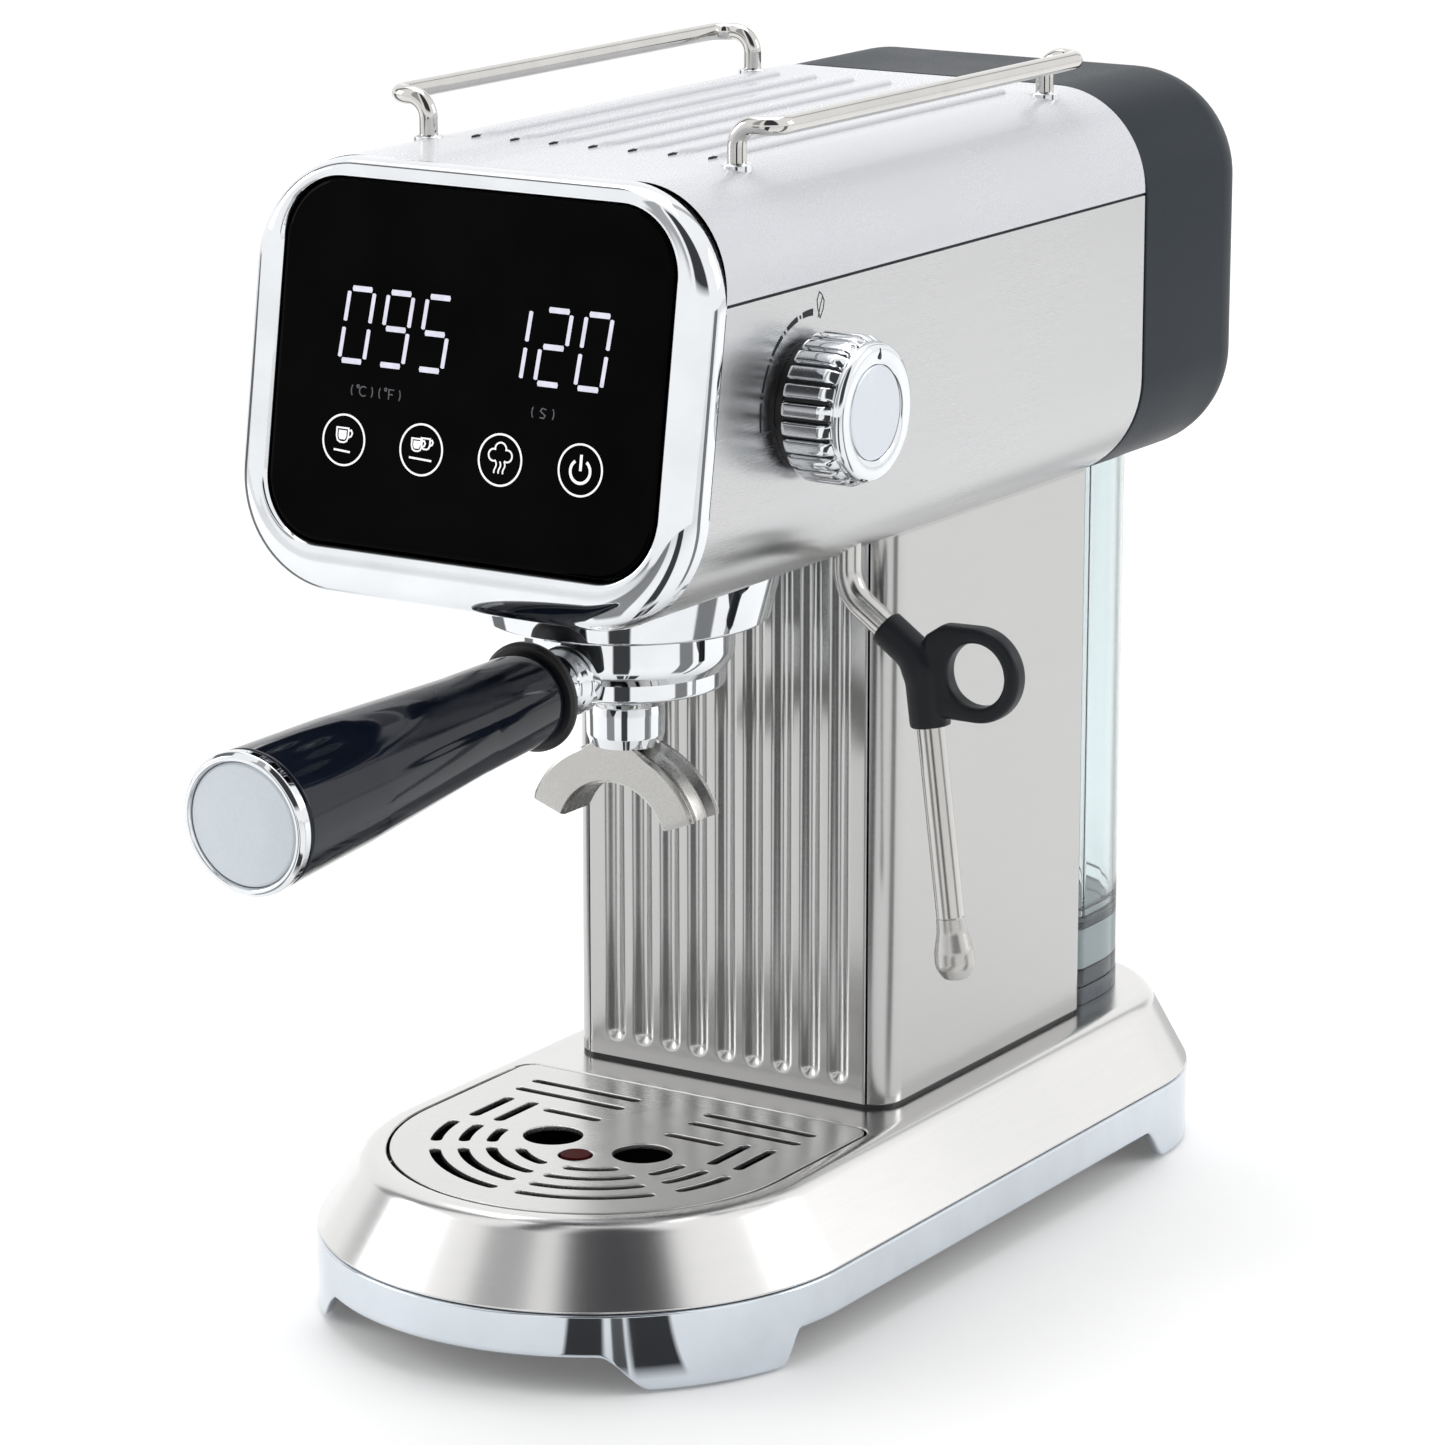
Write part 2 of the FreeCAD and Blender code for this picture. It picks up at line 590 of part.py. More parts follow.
def make_chassis():
    low, high = "(cover_top)", TOWER_TOP
    cheeks = [block(("cheek_thick", "chassis_depth", f"{high} - {low}"), (x, "chassis_front", low))
              for x in ("-chassis_width / 2", "chassis_width / 2 - cheek_thick")]
    inner = "(chassis_width - 2 * cheek_thick)"
    shelf = block((inner, "chassis_depth / 2", "shelf_thick"),
                  (f"-{inner} / 2", "pump_y - chassis_depth / 4", "pump_shelf - shelf_thick"))
    top = block(("chassis_width", "chassis_front + chassis_depth - shelf_front", "shelf_thick"),
                ("-chassis_width / 2", "shelf_front", high))
    holes = fuse(rod("hose_hole", "shelf_thick * 4", (0, "pump_y", "pump_shelf - shelf_thick * 2")),
                 rod("hose_hole", "shelf_thick * 4", (0, "pump_y", f"{high} - shelf_thick")))
    finish(cut(fuse(*cheeks, shelf, top), holes), "chassis_frame")


# ---------------------------------------------------------------- head

def head_outline(sketch, inset=0):
    """The head's section, seen from the front: a box with large round corners."""
    return sketch.rounded_box(f"({HEAD_SIDE} - ({inset}))", f"(head_height / 2 - ({inset}))",
                              f"(head_corner - ({inset}))", y=HEAD_MIDDLE)


def cut_face(body):
    """Trim a head piece to the plane that the bezel lies on."""
    low, high = "(head_bottom - 20)", f"({HEAD_TOP} + 20)"
    edge = "(face_seam + ({} - seam_height) * tan(face_lean))"
    side = Sketch(body, "YZ").polygon(
        ("face_seam - 60", low), (edge.format(low), low), (edge.format(high), high), ("face_seam - 60", high))
    pocket(body, side, both=True)


def cut_band(body, low, high):
    """Remove everything between two heights."""
    band = Sketch(body, "YZ").polygon(
        ("face_seam - 60", low), ("head_rear + 60", low), ("head_rear + 60", high), ("face_seam - 60", high))
    pocket(body, band, both=True)


def make_head_shell():
    body = new_body("head_shell")
    pad(body, head_outline(Sketch(body, "XZ", "-head_rear")), "head_rear - face_seam + 20")
    pocket(body, head_outline(Sketch(body, "XZ", "-head_rear"), "sheet"), back=True)
    cut_face(body)
    cut_band(body, "seam_height", f"{HEAD_TOP} + 10")
    under = Sketch(body, height="head_bottom + head_corner")
    under.circle(0, "group_y", "group_radius + 0.1").circle("wand_x", "wand_y", "wand_radius + 2 * fit_gap")
    pocket(body, under, "head_corner + 10")
    pocket(body, tower_outline(Sketch(body, height="head_bottom + head_corner / 2")), "head_corner")
    side = Sketch(body, "YZ").circle("knob_y", "knob_z", "stem_radius + 1")
    pocket(body, side, back=True)


def make_roof_cover():
    body = new_body("roof_cover")
    pad(body, head_outline(Sketch(body, "XZ", "-head_rear")), "head_rear - face_seam + 20")
    pocket(body, head_outline(Sketch(body, "XZ", "-head_rear"), "roof_wall"), back=True)
    cut_face(body)
    cut_band(body, "head_bottom - 10", "seam_height + seam_gap")
    ribs = Sketch(body, height=f"{HEAD_TOP}")
    for index in range(-3, 4):
        x = f"{index} * rib_pitch" if index else 0
        ribs.belt((x, "rail_middle - rib_length / 2", "rib_radius"), (x, "rail_middle + rib_length / 2", "rib_radius"))
    pad(body, ribs, "rib_height")
    seats = Sketch(body, height=f"{HEAD_TOP} + 5")
    for x in ("-rail_spread / 2", "rail_spread / 2"):
        for y in ("rail_middle - rail_length / 2", "rail_middle + rail_length / 2"):
            seats.circle(x, y, "ferrule_radius")
    pocket(body, seats, "5 + ferrule_sink")


def make_back_plate():
    body = new_body("head_back_plate")
    pad(body, head_outline(Sketch(body, "XZ", "-head_rear"), "roof_wall + 0.2"), "sheet")
    pocket(body, tower_outline(Sketch(body, height=f"{TOWER_TOP} + fit_gap"), "-fit_gap"), "tower_tuck + 1")


def make_rails():
    seat = f"({HEAD_TOP} - ferrule_sink)"
    half, bend, radius = value("rail_length / 2"), value("rail_bend"), value("rail_radius")
    rise, start = value("rail_rise"), radius * math.tan(math.radians(value("rail_lean")))
    for name, sx in (("left", -1), ("right", 1)):
        for end, sy in (("front", "-"), ("rear", "+")):
            at = (f"{sx} * rail_spread / 2", f"rail_middle {sy} rail_length / 2", seat)
            finish(rod("ferrule_radius", "ferrule_height", at), f"ferrule_{end}_{name}")
        corners = [Vector(0, -half, start), Vector(0, -half, rise), Vector(0, half, rise), Vector(0, half, start)]
        foot = Vector(sx * value("rail_spread / 2"), value("rail_middle"), value(f"{seat} + ferrule_height"))
        lean = Rotation(Vector(0, 1, 0), sx * value("rail_lean"))
        free_shape(f"rail_{name}", tube_shape(corners, bend, radius), foot, lean)


# ---------------------------------------------------------------- face

FACE_AT = (0, FACE_MIDDLE, HEAD_MIDDLE)
FACE_TURN = ((1, 0, 0), "90 - face_lean")
FACE_HALF = "(head_height / 2 / cos(face_lean))"


def glass_outline(sketch, extra=0):
    return sketch.rounded_box(f"(glass_width / 2 + ({extra}))", f"(glass_height / 2 + ({extra}))",
                              f"(glass_corner + ({extra}))", y="glass_raise")


def make_bezel():
    body = new_body("bezel", FACE_AT, FACE_TURN)
    rear = Sketch(body).rounded_box(HEAD_SIDE, FACE_HALF, "head_corner")
    front = glass_outline(Sketch(body, height="bezel_depth"), "bezel_lip")
    loft(body, rear, front)
    pocket(body, glass_outline(Sketch(body, height="bezel_depth"), "glass_gap"), "glass_recess + glass_thick")
    pocket(body, glass_outline(Sketch(body, height="bezel_depth"), "-glass_ledge"))


def make_glass():
    body = new_body("touch_glass", FACE_AT, FACE_TURN)
    pad(body, glass_outline(Sketch(body, height=GLASS_FLOOR)), "glass_thick")


def make_display_board():
    body = new_body("display_board", FACE_AT, FACE_TURN)
    pad(body, glass_outline(Sketch(body, height=GLASS_FLOOR), "-board_margin"), "board_thick", back=True)


# ---------------------------------------------------------------- group

GROUP_AT = (0, "group_y", 0)


def make_group():
    shroud = cone("shroud_foot_radius", "shroud_top_radius", "shroud_height",
                  (0, "group_y", "head_bottom - shroud_height"))
    bore = rod("shroud_foot_radius - shroud_wall", "shroud_height * 3",
               (0, "group_y", "head_bottom - shroud_height * 2"))
    finish(cut(shroud, bore), "group_shroud")

    body = new_body("group_head", GROUP_AT)
    low, top = "(head_bottom - shroud_height)", "(head_bottom + group_rise)"
    profile = Sketch(body, "XZ").polygon(
        ("group_mouth", low), ("group_radius", low), ("group_radius", top), ("water_bore", top),
        ("water_bore", "gasket_seat"), ("gasket_outer", "gasket_seat"), ("gasket_outer", "groove_high"),
        ("lug_groove", "groove_high"), ("lug_groove", "groove_low"), ("group_mouth", "groove_low"))
    revolve(body, profile)

    rim = "(cup_top + basket_rim + seal_gap)"
    body = new_body("group_gasket", GROUP_AT)
    revolve(body, Sketch(body, "XZ").polygon(
        ("gasket_inner", rim), ("gasket_outer", rim), ("gasket_outer", "gasket_seat"),
        ("gasket_inner", "gasket_seat")))
    screen = rod("screen_radius", "screen_thick", (0, "group_y", "gasket_seat - screen_thick"))
    finish(cut(screen, rod("shower_screw_radius / 2", "10", (0, "group_y", "gasket_seat - 5"))), "shower_screen")
    head = rod("shower_screw_radius", "shower_screw_head",
               (0, "group_y", "gasket_seat - screen_thick - shower_screw_head"))
    shank = rod("shower_screw_radius / 2", "screen_thick + 1", (0, "group_y", "gasket_seat - screen_thick - 1"))
    finish(fuse(head, shank), "shower_screw")


def make_solenoid():
    base = block(("solenoid_width", "solenoid_width", "solenoid_height / 2"),
                 ("-solenoid_width / 2", "group_y - solenoid_width / 2", "head_bottom + group_rise"))
    coil = rod("solenoid_width / 2.4", "solenoid_height / 2",
               (0, "group_y", "head_bottom + group_rise + solenoid_height / 2"))
    finish(fuse(base, coil), "solenoid_valve")


# ---------------------------------------------------------------- portafilter

def make_portafilter():
    body = new_body("portafilter_cup", GROUP_AT)
    profile = Sketch(body, "XZ").polygon((0, "cup_bottom"), ("cup_radius", "cup_bottom"), ("cup_radius", "cup_top"),
                                         (0, "cup_top"))
    revolve(body, profile)
    round_edges(body, "cup_round", lambda edge: level(edge, value("cup_bottom")))
    lugs = Sketch(body, height="cup_top - lug_thick").belt(
        ("-lug_reach + lug_half", 0, "lug_half"), ("lug_reach - lug_half", 0, "lug_half"))
    pad(body, lugs, "lug_thick")
    pocket(body, Sketch(body, height="cup_top").circle(0, 0, "cup_bore"), "cup_top - cup_bottom - cup_floor")
    pocket(body, Sketch(body, height="cup_top").circle(0, 0, "water_bore"))

    body = new_body("portafilter_basket", GROUP_AT)
    top, floor = "(cup_top + basket_rim)", "(cup_top - basket_depth)"
    inside = "(basket_radius - basket_wall)"
    revolve(body, Sketch(body, "XZ").polygon(
        (0, floor), ("basket_radius", floor), ("basket_radius", "cup_top"), ("cup_radius", "cup_top"),
        ("cup_radius", top), (inside, top), (inside, f"{floor} + basket_wall"), (0, f"{floor} + basket_wall")))

    body = new_body("spout_nut", GROUP_AT)
    nut_low = "(cup_bottom - spout_nut_height)"
    pad(body, Sketch(body, height=nut_low).circle(0, 0, "spout_nut_radius"), "spout_nut_height")
    pocket(body, Sketch(body, height=nut_low).circle(0, 0, "water_bore"), back=True)

    body = new_body("twin_spout", GROUP_AT)
    pad(body, Sketch(body, "XZ").circle(0, SPOUT_MIDDLE, "spout_outer"), "spout_width", both=True)
    pocket(body, Sketch(body, "XZ").circle(0, SPOUT_MIDDLE, "spout_inner"), both=True)
    far, rise = "(spout_outer * 2)", "(spout_outer * 2 * tan(spout_lean))"
    below = Sketch(body, "XZ").polygon(
        (0, SPOUT_MIDDLE), (f"-{far}", f"{SPOUT_MIDDLE} + {rise}"), (f"-{far}", f"{SPOUT_MIDDLE} - {far}"),
        (far, f"{SPOUT_MIDDLE} - {far}"), (far, f"{SPOUT_MIDDLE} + {rise}"))
    pocket(body, below, both=True)


def along_handle(distance):
    """A place on the handle's axis, measured outwards from the collar's rear face."""
    return (0, f"group_y - handle_reach - ({distance}) * cos(handle_droop)",
            f"handle_z - ({distance}) * sin(handle_droop)")


def make_handle():
    turn = ((1, 0, 0), "90 + handle_droop")
    neck = rod("neck_radius", "handle_reach / 2", along_handle("-handle_reach / 2"), turn)
    cup = rod("cup_radius", "spout_outer * 2", (0, "group_y", "cup_bottom - spout_outer / 2"))
    finish(cut(neck, cup), "portafilter_neck")
    finish(rod("collar_radius", "collar_length", along_handle(0), turn), "portafilter_collar")
    finish(cone("grip_small", "grip_large", "grip_length", along_handle("collar_length"), turn),
           "portafilter_handle")
    end = along_handle("collar_length + grip_length")
    ring = cut(rod("grip_large", "end_ring", end, turn), rod("grip_large - end_ring_wall", "end_ring", end, turn))
    finish(ring, "portafilter_end_ring")
    finish(rod("grip_large - end_ring_wall", "disc_thick", end, turn), "portafilter_end_disc")


# ---------------------------------------------------------------- steam knob

KNOB_TURN = ((0, 1, 0), "90")


def make_knob():
    at = (HEAD_SIDE, "knob_y", "knob_z")
    ring = rod("knob_ring_radius", "knob_gap - fit_gap", at, KNOB_TURN)
    bore = rod("stem_radius + stem_gap", "knob_gap * 3", (f"{HEAD_SIDE} - knob_gap", "knob_y", "knob_z"), KNOB_TURN)
    finish(cut(ring, bore), "knob_ring")

    body = new_body("knob_body", (f"{HEAD_SIDE} + knob_gap", "knob_y", "knob_z"), KNOB_TURN)
    end = "(knob_length + knob_taper)"
    revolve(body, Sketch(body, "XZ").polygon(
        ("stem_radius", 0), ("knob_radius", 0), ("knob_radius", "knob_length"), ("knob_face_radius", end),
        ("knob_disc_radius", end), ("knob_disc_radius", "knob_length"), ("stem_radius", "knob_length")))
    groove = Sketch(body).circle("knob_radius + knob_flute_radius * 0.6", 0, "knob_flute_radius")
    flute = pocket(body, groove, "knob_length", back=True)
    repeat(body, flute, (groove.item, ["N_Axis"]), "knob_flutes")

    face_at = (f"{HEAD_SIDE} + knob_gap + knob_length", "knob_y", "knob_z")
    finish(rod("knob_disc_radius", "knob_taper - knob_disc_sink", face_at, KNOB_TURN), "knob_disc")
    stem_at = ("valve_side - 6", "knob_y", "knob_z")
    stem_length = f"{HEAD_SIDE} + knob_gap + knob_length - valve_side + 6"
    finish(rod("stem_radius", stem_length, stem_at, KNOB_TURN), "knob_stem")

    valve = block(("valve_length", "valve_width", "valve_width"),
                  ("valve_side - valve_length", "knob_y - valve_width / 2", "knob_z - valve_width / 2"))
    socket = rod("stem_radius + stem_gap", "valve_length", ("valve_side - 6.5", "knob_y", "knob_z"), KNOB_TURN)
    finish(cut(valve, socket), "steam_valve")


# ---------------------------------------------------------------- steam wand

def wand_points():
    """The tube's corners: down out of the head, outwards, then down again with a slight lean."""
    y = value("wand_y")
    return [Vector(value("wand_x"), y, value("swivel_top")), Vector(value("wand_x"), y, value("wand_drop")),
            Vector(value("elbow_x"), y, value("elbow_z")), Vector(value("wand_end_x"), y, value("wand_end_z"))]


def make_wand():
    room = doc.addObject("PartDesign::Body", "Body")
    pad(room, head_outline(Sketch(room, "XZ", "-head_rear"), "sheet"), "head_rear - face_seam")
    bottom = ("wand_x", "wand_y", "head_bottom")
    ledge = ("wand_x", "wand_y", "swivel_bottom - fit_gap")
    bores = fuse(rod("wand_radius + fit_gap", "head_corner", bottom),
                 rod("swivel_radius + fit_gap", "head_corner", ledge))
    socket = doc.addObject("Part::Common", "Common")
    socket.Base, socket.Tool = cut(rod("socket_radius", "socket_top - head_bottom", bottom), bores), room
    finish(socket, "wand_socket")
    at, length = ("wand_x", "wand_y", "swivel_bottom"), "swivel_top - swivel_bottom"
    finish(cut(rod("swivel_radius", length, at), rod("wand_radius", length, at)), "wand_swivel")

    points = wand_points()
    radius = value("wand_radius")
    free_shape("wand_tube", tube_shape(points, value("wand_bend"), radius, value("wand_radius - wand_wall")))

    top, drop, elbow, end = points
    lower = end - elbow
    sleeve_top = drop + (elbow - drop) * value("sleeve_start")
    sleeve_end = elbow + lower * ((value("sleeve_end") - elbow.z) / lower.z)
    sleeve = tube_shape([sleeve_top, elbow, sleeve_end], value("wand_bend"), value("sleeve_radius"))
    ring = Vector(value("finger_x"), elbow.y, value("finger_z"))
    ring_radius, sleeve_radius = value("finger_radius"), value("sleeve_radius")
    foot = elbow + lower.normalize() * (ring_radius - sleeve_radius)
    web = ring_web(ring, ring_radius, [elbow, foot], sleeve_radius)
    hole = Part.makeCylinder(value("finger_hole"), value("finger_thick * 2"),
                             ring + Vector(0, value("finger_thick"), 0), Vector(0, -1, 0))
    bare = tube_shape(points, value("wand_bend"), radius)
    free_shape("wand_grip", sleeve.fuse(web).cut(bare).cut(hole).removeSplitter())

    lean = "atan((wand_end_x - elbow_x) / (elbow_z - wand_end_z))"
    neck = "(tip_length - tip_radius)"
    turn = ((0, 1, 0), f"180 deg - {lean}")
    ball = doc.addObject("Part::Sphere", "Ball")
    bind(ball, "Radius", "tip_radius")
    place(ball, (f"wand_end_x + {neck} * sin({lean})", "wand_y", f"wand_end_z - {neck} * cos({lean})"))
    flank = cone("wand_radius", "tip_radius", neck, ("wand_end_x", "wand_y", "wand_end_z"), turn)
    finish(fuse(flank, ball), "wand_tip")


def ring_web(ring, radius, corners, corner_radius):
    """A flat plate round the finger ring, run into the sleeve at each corner."""
    half = Vector(0, value("finger_thick / 2"), 0)
    across = Vector(0, -2 * half.y, 0)
    plate = Part.makeCylinder(radius, -across.y, ring + half, across)
    for corner in corners:
        along = (ring - corner)
        side = across.cross(along).normalize()
        outline = [corner + side * corner_radius * 0.9, ring + side * radius,
                   ring - side * radius, corner - side * corner_radius * 0.9]
        face = Part.Face(Part.makePolygon([point + half for point in outline + outline[:1]]))
        plate = plate.fuse(face.extrude(across))
    return plate


# ---------------------------------------------------------------- water tank

def tank_outline(sketch, inset=0):
    """The tank's plan: flat towards the tower, with two large rear corners."""
    edge_x = f"(tank_width / 2 - tank_edge)"
    rear_x = f"(tank_width / 2 - tank_corner)"
    front_y, rear_y = "(tank_front + tank_edge)", "(tank_rear - tank_corner)"
    edge, corner = f"(tank_edge - ({inset}))", f"(tank_corner - ({inset}))"
    return sketch.belt((f"-{edge_x}", front_y, edge), (edge_x, front_y, edge),
                       (rear_x, rear_y, corner), (f"-{rear_x}", rear_y, corner))


def cap_solid(inset):
    """The cap's outer shape, or the hollow inside it, open towards the head."""
    body = doc.addObject("PartDesign::Body", "Body")
    length = f"(cap_length - {inset})"
    pad(body, head_outline(Sketch(body, "XZ", f"-{CAP_FRONT}"), inset), length, back=True)
    rear = value(f"{CAP_FRONT} + {length}")
    round_edges(body, f"cap_round - {inset}", lambda edge: edge.BoundBox.YMin > rear - 1e-3)
    return body


def make_tank():
    body = new_body("tank_seat")
    pad(body, tank_outline(Sketch(body, height="cover_top")), "seat_height")
    pocket(body, tank_outline(Sketch(body, height="cover_top + seat_height"), "tank_edge / 2"),
           "seat_height - seat_floor")

    body = new_body("water_tank")
    pad(body, tank_outline(Sketch(body, height=TANK_FLOOR)), f"tank_top - {TANK_FLOOR}")
    pocket(body, tank_outline(Sketch(body, height="tank_top"), "tank_wall"), f"tank_top - {TANK_FLOOR} - tank_wall")

    finish(rod("spigot_radius", "spigot_drop", (0, "spigot_y", f"{TANK_FLOOR} - spigot_drop")), "tank_valve")

    room = doc.addObject("PartDesign::Body", "Body")
    pad(room, tank_outline(Sketch(room, height="head_bottom - 1"), "-cap_clearance"), "tank_top - head_bottom + 5")
    notch = block(("tower_width + 2", "tank_front - head_rear + tank_edge", "tower_tuck + 2"),
                  ("-tower_width / 2 - 1", "head_rear", "head_bottom - 1"))
    finish(cut(cap_solid(0), fuse(cap_solid("cap_wall"), room, notch)), "tank_cap")


# ---------------------------------------------------------------- inside

def make_inside():
    body = rod("pump_radius", "pump_length", (0, "pump_y", "pump_shelf"))
    outlet = rod("hose_radius", f"{SHELF_TOP} - pump_shelf", (0, "pump_y", "pump_shelf"))
    finish(fuse(body, outlet), "pump")

    y, low = value("pump_y"), value("hose_low")
    route = [Vector(0, value("spigot_y"), value("cover_top")), Vector(0, value("spigot_y"), low),
             Vector(0, y, low), Vector(0, y, value("pump_shelf"))]
    free_shape("inlet_hose", tube_shape(route, value("hose_bend"), value("hose_radius")))

    body = new_body("thermoblock", (0, "thermoblock_y", SHELF_TOP))
    half = "(thermoblock_width / 2)"
    plan = Sketch(body).polygon((f"-{half}", 0), (half, 0), (half, "thermoblock_length"),
                                (f"-{half}", "thermoblock_length"))
    pad(body, plan, "thermoblock_height")
    first = Sketch(body, "XZ").polygon(
        (f"-{half} + fin_pitch / 2", "thermoblock_height - fin_depth"),
        (f"-{half} + fin_pitch", "thermoblock_height - fin_depth"),
        (f"-{half} + fin_pitch", "thermoblock_height"), (f"-{half} + fin_pitch / 2", "thermoblock_height"))
    gap = pocket(body, first)
    repeat(body, gap, (first.item, ["H_Axis"]), "5", "4 * fin_pitch")

    finish(block(("board_width", "board_thick", "board_height"),
                 ("-board_width / 2", "head_rear - sheet - board_thick", "board_low")), "control_board")

    outlet_x = value("valve_side - valve_length / 2")
    knob_y, low, bend = value("knob_y"), value("steam_pipe_z"), value("steam_pipe_bend")
    wand_x, wand_y = value("wand_x"), value("wand_y")
    route = [Vector(outlet_x, knob_y, value("knob_z - valve_width / 2")), Vector(outlet_x, knob_y, low),
             Vector(wand_x, wand_y, low), Vector(wand_x, wand_y, value("swivel_top"))]
    free_shape("steam_pipe", tube_shape(route, bend, value("steam_pipe_radius")))


# ---------------------------------------------------------------- build, check and write

for make in (make_plinth, make_base_plate, make_foot_pads, make_base_cover, make_cord_gland, make_drip_basin,
             make_drip_grid, make_float, make_tower_shell, make_tower_panel, make_chassis, make_head_shell,
             make_roof_cover, make_back_plate, make_rails, make_bezel, make_glass, make_display_board,
             make_group, make_solenoid, make_portafilter, make_handle, make_knob, make_wand, make_tank,
             make_inside):
    make()
doc.recompute()

for item in doc.Objects:
    if "Invalid" in item.State or "Error" in item.State:
        raise RuntimeError(f"{item.Label} did not build: {item.State}")
for item in finished:
    if item.Shape.isNull() or not item.Shape.isValid() or len(item.Shape.Solids) != 1:
        raise RuntimeError(f"{item.Label} is not one valid solid")

os.makedirs("parts", exist_ok=True)
for item in finished:
    item.Shape.exportStep(f"parts/{item.Label}.step")
print(len(finished), "sub-parts written")
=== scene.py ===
# %% [markdown]
# # A slim espresso machine
# The shape that has to be exact, such as where the knob turns and how wide the base is, comes packed
# from the CAD model. Here the same machine gets its looks. Positions are written in that model's own
# millimetres, so a finer mesh lands where the plain one was.

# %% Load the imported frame
import math

import bmesh
import bpy
from mathutils import Matrix, Vector
from mathutils.geometry import tessellate_polygon


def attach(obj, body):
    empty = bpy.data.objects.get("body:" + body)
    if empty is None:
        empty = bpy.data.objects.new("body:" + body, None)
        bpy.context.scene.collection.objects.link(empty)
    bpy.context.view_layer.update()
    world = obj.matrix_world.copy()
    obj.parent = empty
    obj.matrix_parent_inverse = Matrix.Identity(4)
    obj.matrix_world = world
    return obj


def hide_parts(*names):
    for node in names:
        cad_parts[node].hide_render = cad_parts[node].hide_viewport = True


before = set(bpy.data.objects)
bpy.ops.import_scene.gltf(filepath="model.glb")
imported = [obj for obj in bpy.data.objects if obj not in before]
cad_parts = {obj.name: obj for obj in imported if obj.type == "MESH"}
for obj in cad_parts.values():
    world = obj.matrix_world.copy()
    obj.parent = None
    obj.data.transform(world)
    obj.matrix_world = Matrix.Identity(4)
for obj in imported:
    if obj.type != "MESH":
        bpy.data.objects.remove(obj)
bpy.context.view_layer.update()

MM = 0.001


def placed(name, data):
    """Puts a camera, a lamp or a mesh in the scene."""
    made = bpy.data.objects.new(name, data)
    bpy.context.scene.collection.objects.link(made)
    return made


# %% [markdown]
# ## Camera
# The machine is seen from its front right and a little above, through a long lens, so its upright
# edges stay almost parallel. The camera's own axes are written as three directions: to the right of
# the picture, up in it, and backwards out of it. Those three columns are its rotation.

# %% Camera
lens = bpy.data.cameras.new("camera")
lens.lens, lens.sensor_width, lens.clip_end = 135.65, 36, 60
camera = placed("camera", lens)
right, back = Vector((0.84501, 0.53475, 0)), Vector((0.51837, -0.81912, 0.24566))
turn = Matrix((right, back.cross(right), back)).transposed()
camera.matrix_world = Matrix.Translation((0.7625, -1.2234, 0.5058)) @ turn.to_4x4()
bpy.context.scene.camera = camera
bpy.context.scene.view_settings.view_transform = "Standard"
print("camera", round(camera.location.length, 2), "m from the middle of the base")

# %% [markdown]
# ## A small language for shader maths
# A material's pattern is a chain of nodes. Written node by node it is long and hard to read, so one
# class wraps an output socket and lets `mask * 0.5 + 0.2` add the Math nodes by itself. The second
# class holds a node tree and has one method that adds any other node.

# %% Sums of sockets
class Wire:
    """An output socket that can be used in sums; each operator adds a Math node."""

    def __init__(self, tree, socket):
        self.tree, self.socket = tree, socket

    def maths(self, operation, first, second=0.0):
        return self.tree.node("ShaderNodeMath", {"operation": operation}, {0: first, 1: second})

    def __add__(self, other):
        return self.maths("ADD", self, other)

    def __sub__(self, other):
        return self.maths("SUBTRACT", self, other)

    def __rsub__(self, other):
        return self.maths("SUBTRACT", other, self)

    def __mul__(self, other):
        return self.maths("MULTIPLY", self, other)

    __radd__, __rmul__ = __add__, __mul__


# %% A node tree, and a finish made with it
class Tree:
    """The nodes of a material or of the world."""

    def __init__(self, owner):
        owner.use_nodes = True
        self.nodes, self.links = owner.node_tree.nodes, owner.node_tree.links

    def node(self, kind, settings=None, sockets=None, output=0):
        """Adds one node, makes its settings, fills its sockets and gives one output."""
        made = self.nodes.new(kind)
        for name, value in (settings or {}).items():
            setattr(made, name, value)
        for name, value in (sockets or {}).items():
            self.fill(made.inputs[name], value)
        return Wire(self, made.outputs[output])

    def fill(self, socket, value):
        if isinstance(value, Wire):
            self.links.new(value.socket, socket)
        elif isinstance(value, tuple):
            socket.default_value = value + (1.0,) * (len(socket.default_value) - len(value))
        else:
            socket.default_value = value

    def place(self, stretch=(1, 1, 1)):
        """The point on the surface in metres, stretched along the three axes."""
        point = self.node("ShaderNodeTexCoord", output="Object")
        return self.node("ShaderNodeVectorMath", {"operation": "MULTIPLY"}, {0: point, 1: tuple(stretch)})

    def noise(self, stretch, detail=3.0, rough=0.55):
        """Cloudy noise; stretch is how many clouds there are in a metre along each axis."""
        return self.node("ShaderNodeTexNoise", {}, {"Vector": self.place(stretch), "Scale": 1.0,
                                                    "Detail": detail, "Roughness": rough})

    def spread(self, value, low, high, to_low=0.0, to_high=1.0):
        """The part of value from low to high, spread from to_low to to_high."""
        return self.node("ShaderNodeMapRange", {"clamp": True}, {
            "Value": value, "From Min": low, "From Max": high, "To Min": to_low, "To Max": to_high})

    def mix(self, mask, one, other):
        """Colour one where the mask is 0 and the other where it is 1."""
        return self.node("ShaderNodeMix", {"data_type": "RGBA"}, {0: mask, 6: one, 7: other}, output=2)


class Finish(Tree):
    """A material; its sockets are set by name, with _ for a space."""

    def __init__(self, name, **sockets):
        self.material = bpy.data.materials.new(name)
        super().__init__(self.material)
        self.shader = self.nodes["Principled BSDF"]
        self.set(**sockets)

    def set(self, **sockets):
        for name, value in sockets.items():
            self.fill(self.shader.inputs[name.replace("_", " ")], value)
        return self.material

    def bump(self, height, depth, strength=1.0):
        """A bump from a height of 0 to 1 that is depth millimetres high."""
        return self.node("ShaderNodeBump", {}, {"Height": height, "Distance": depth * MM, "Strength": strength})


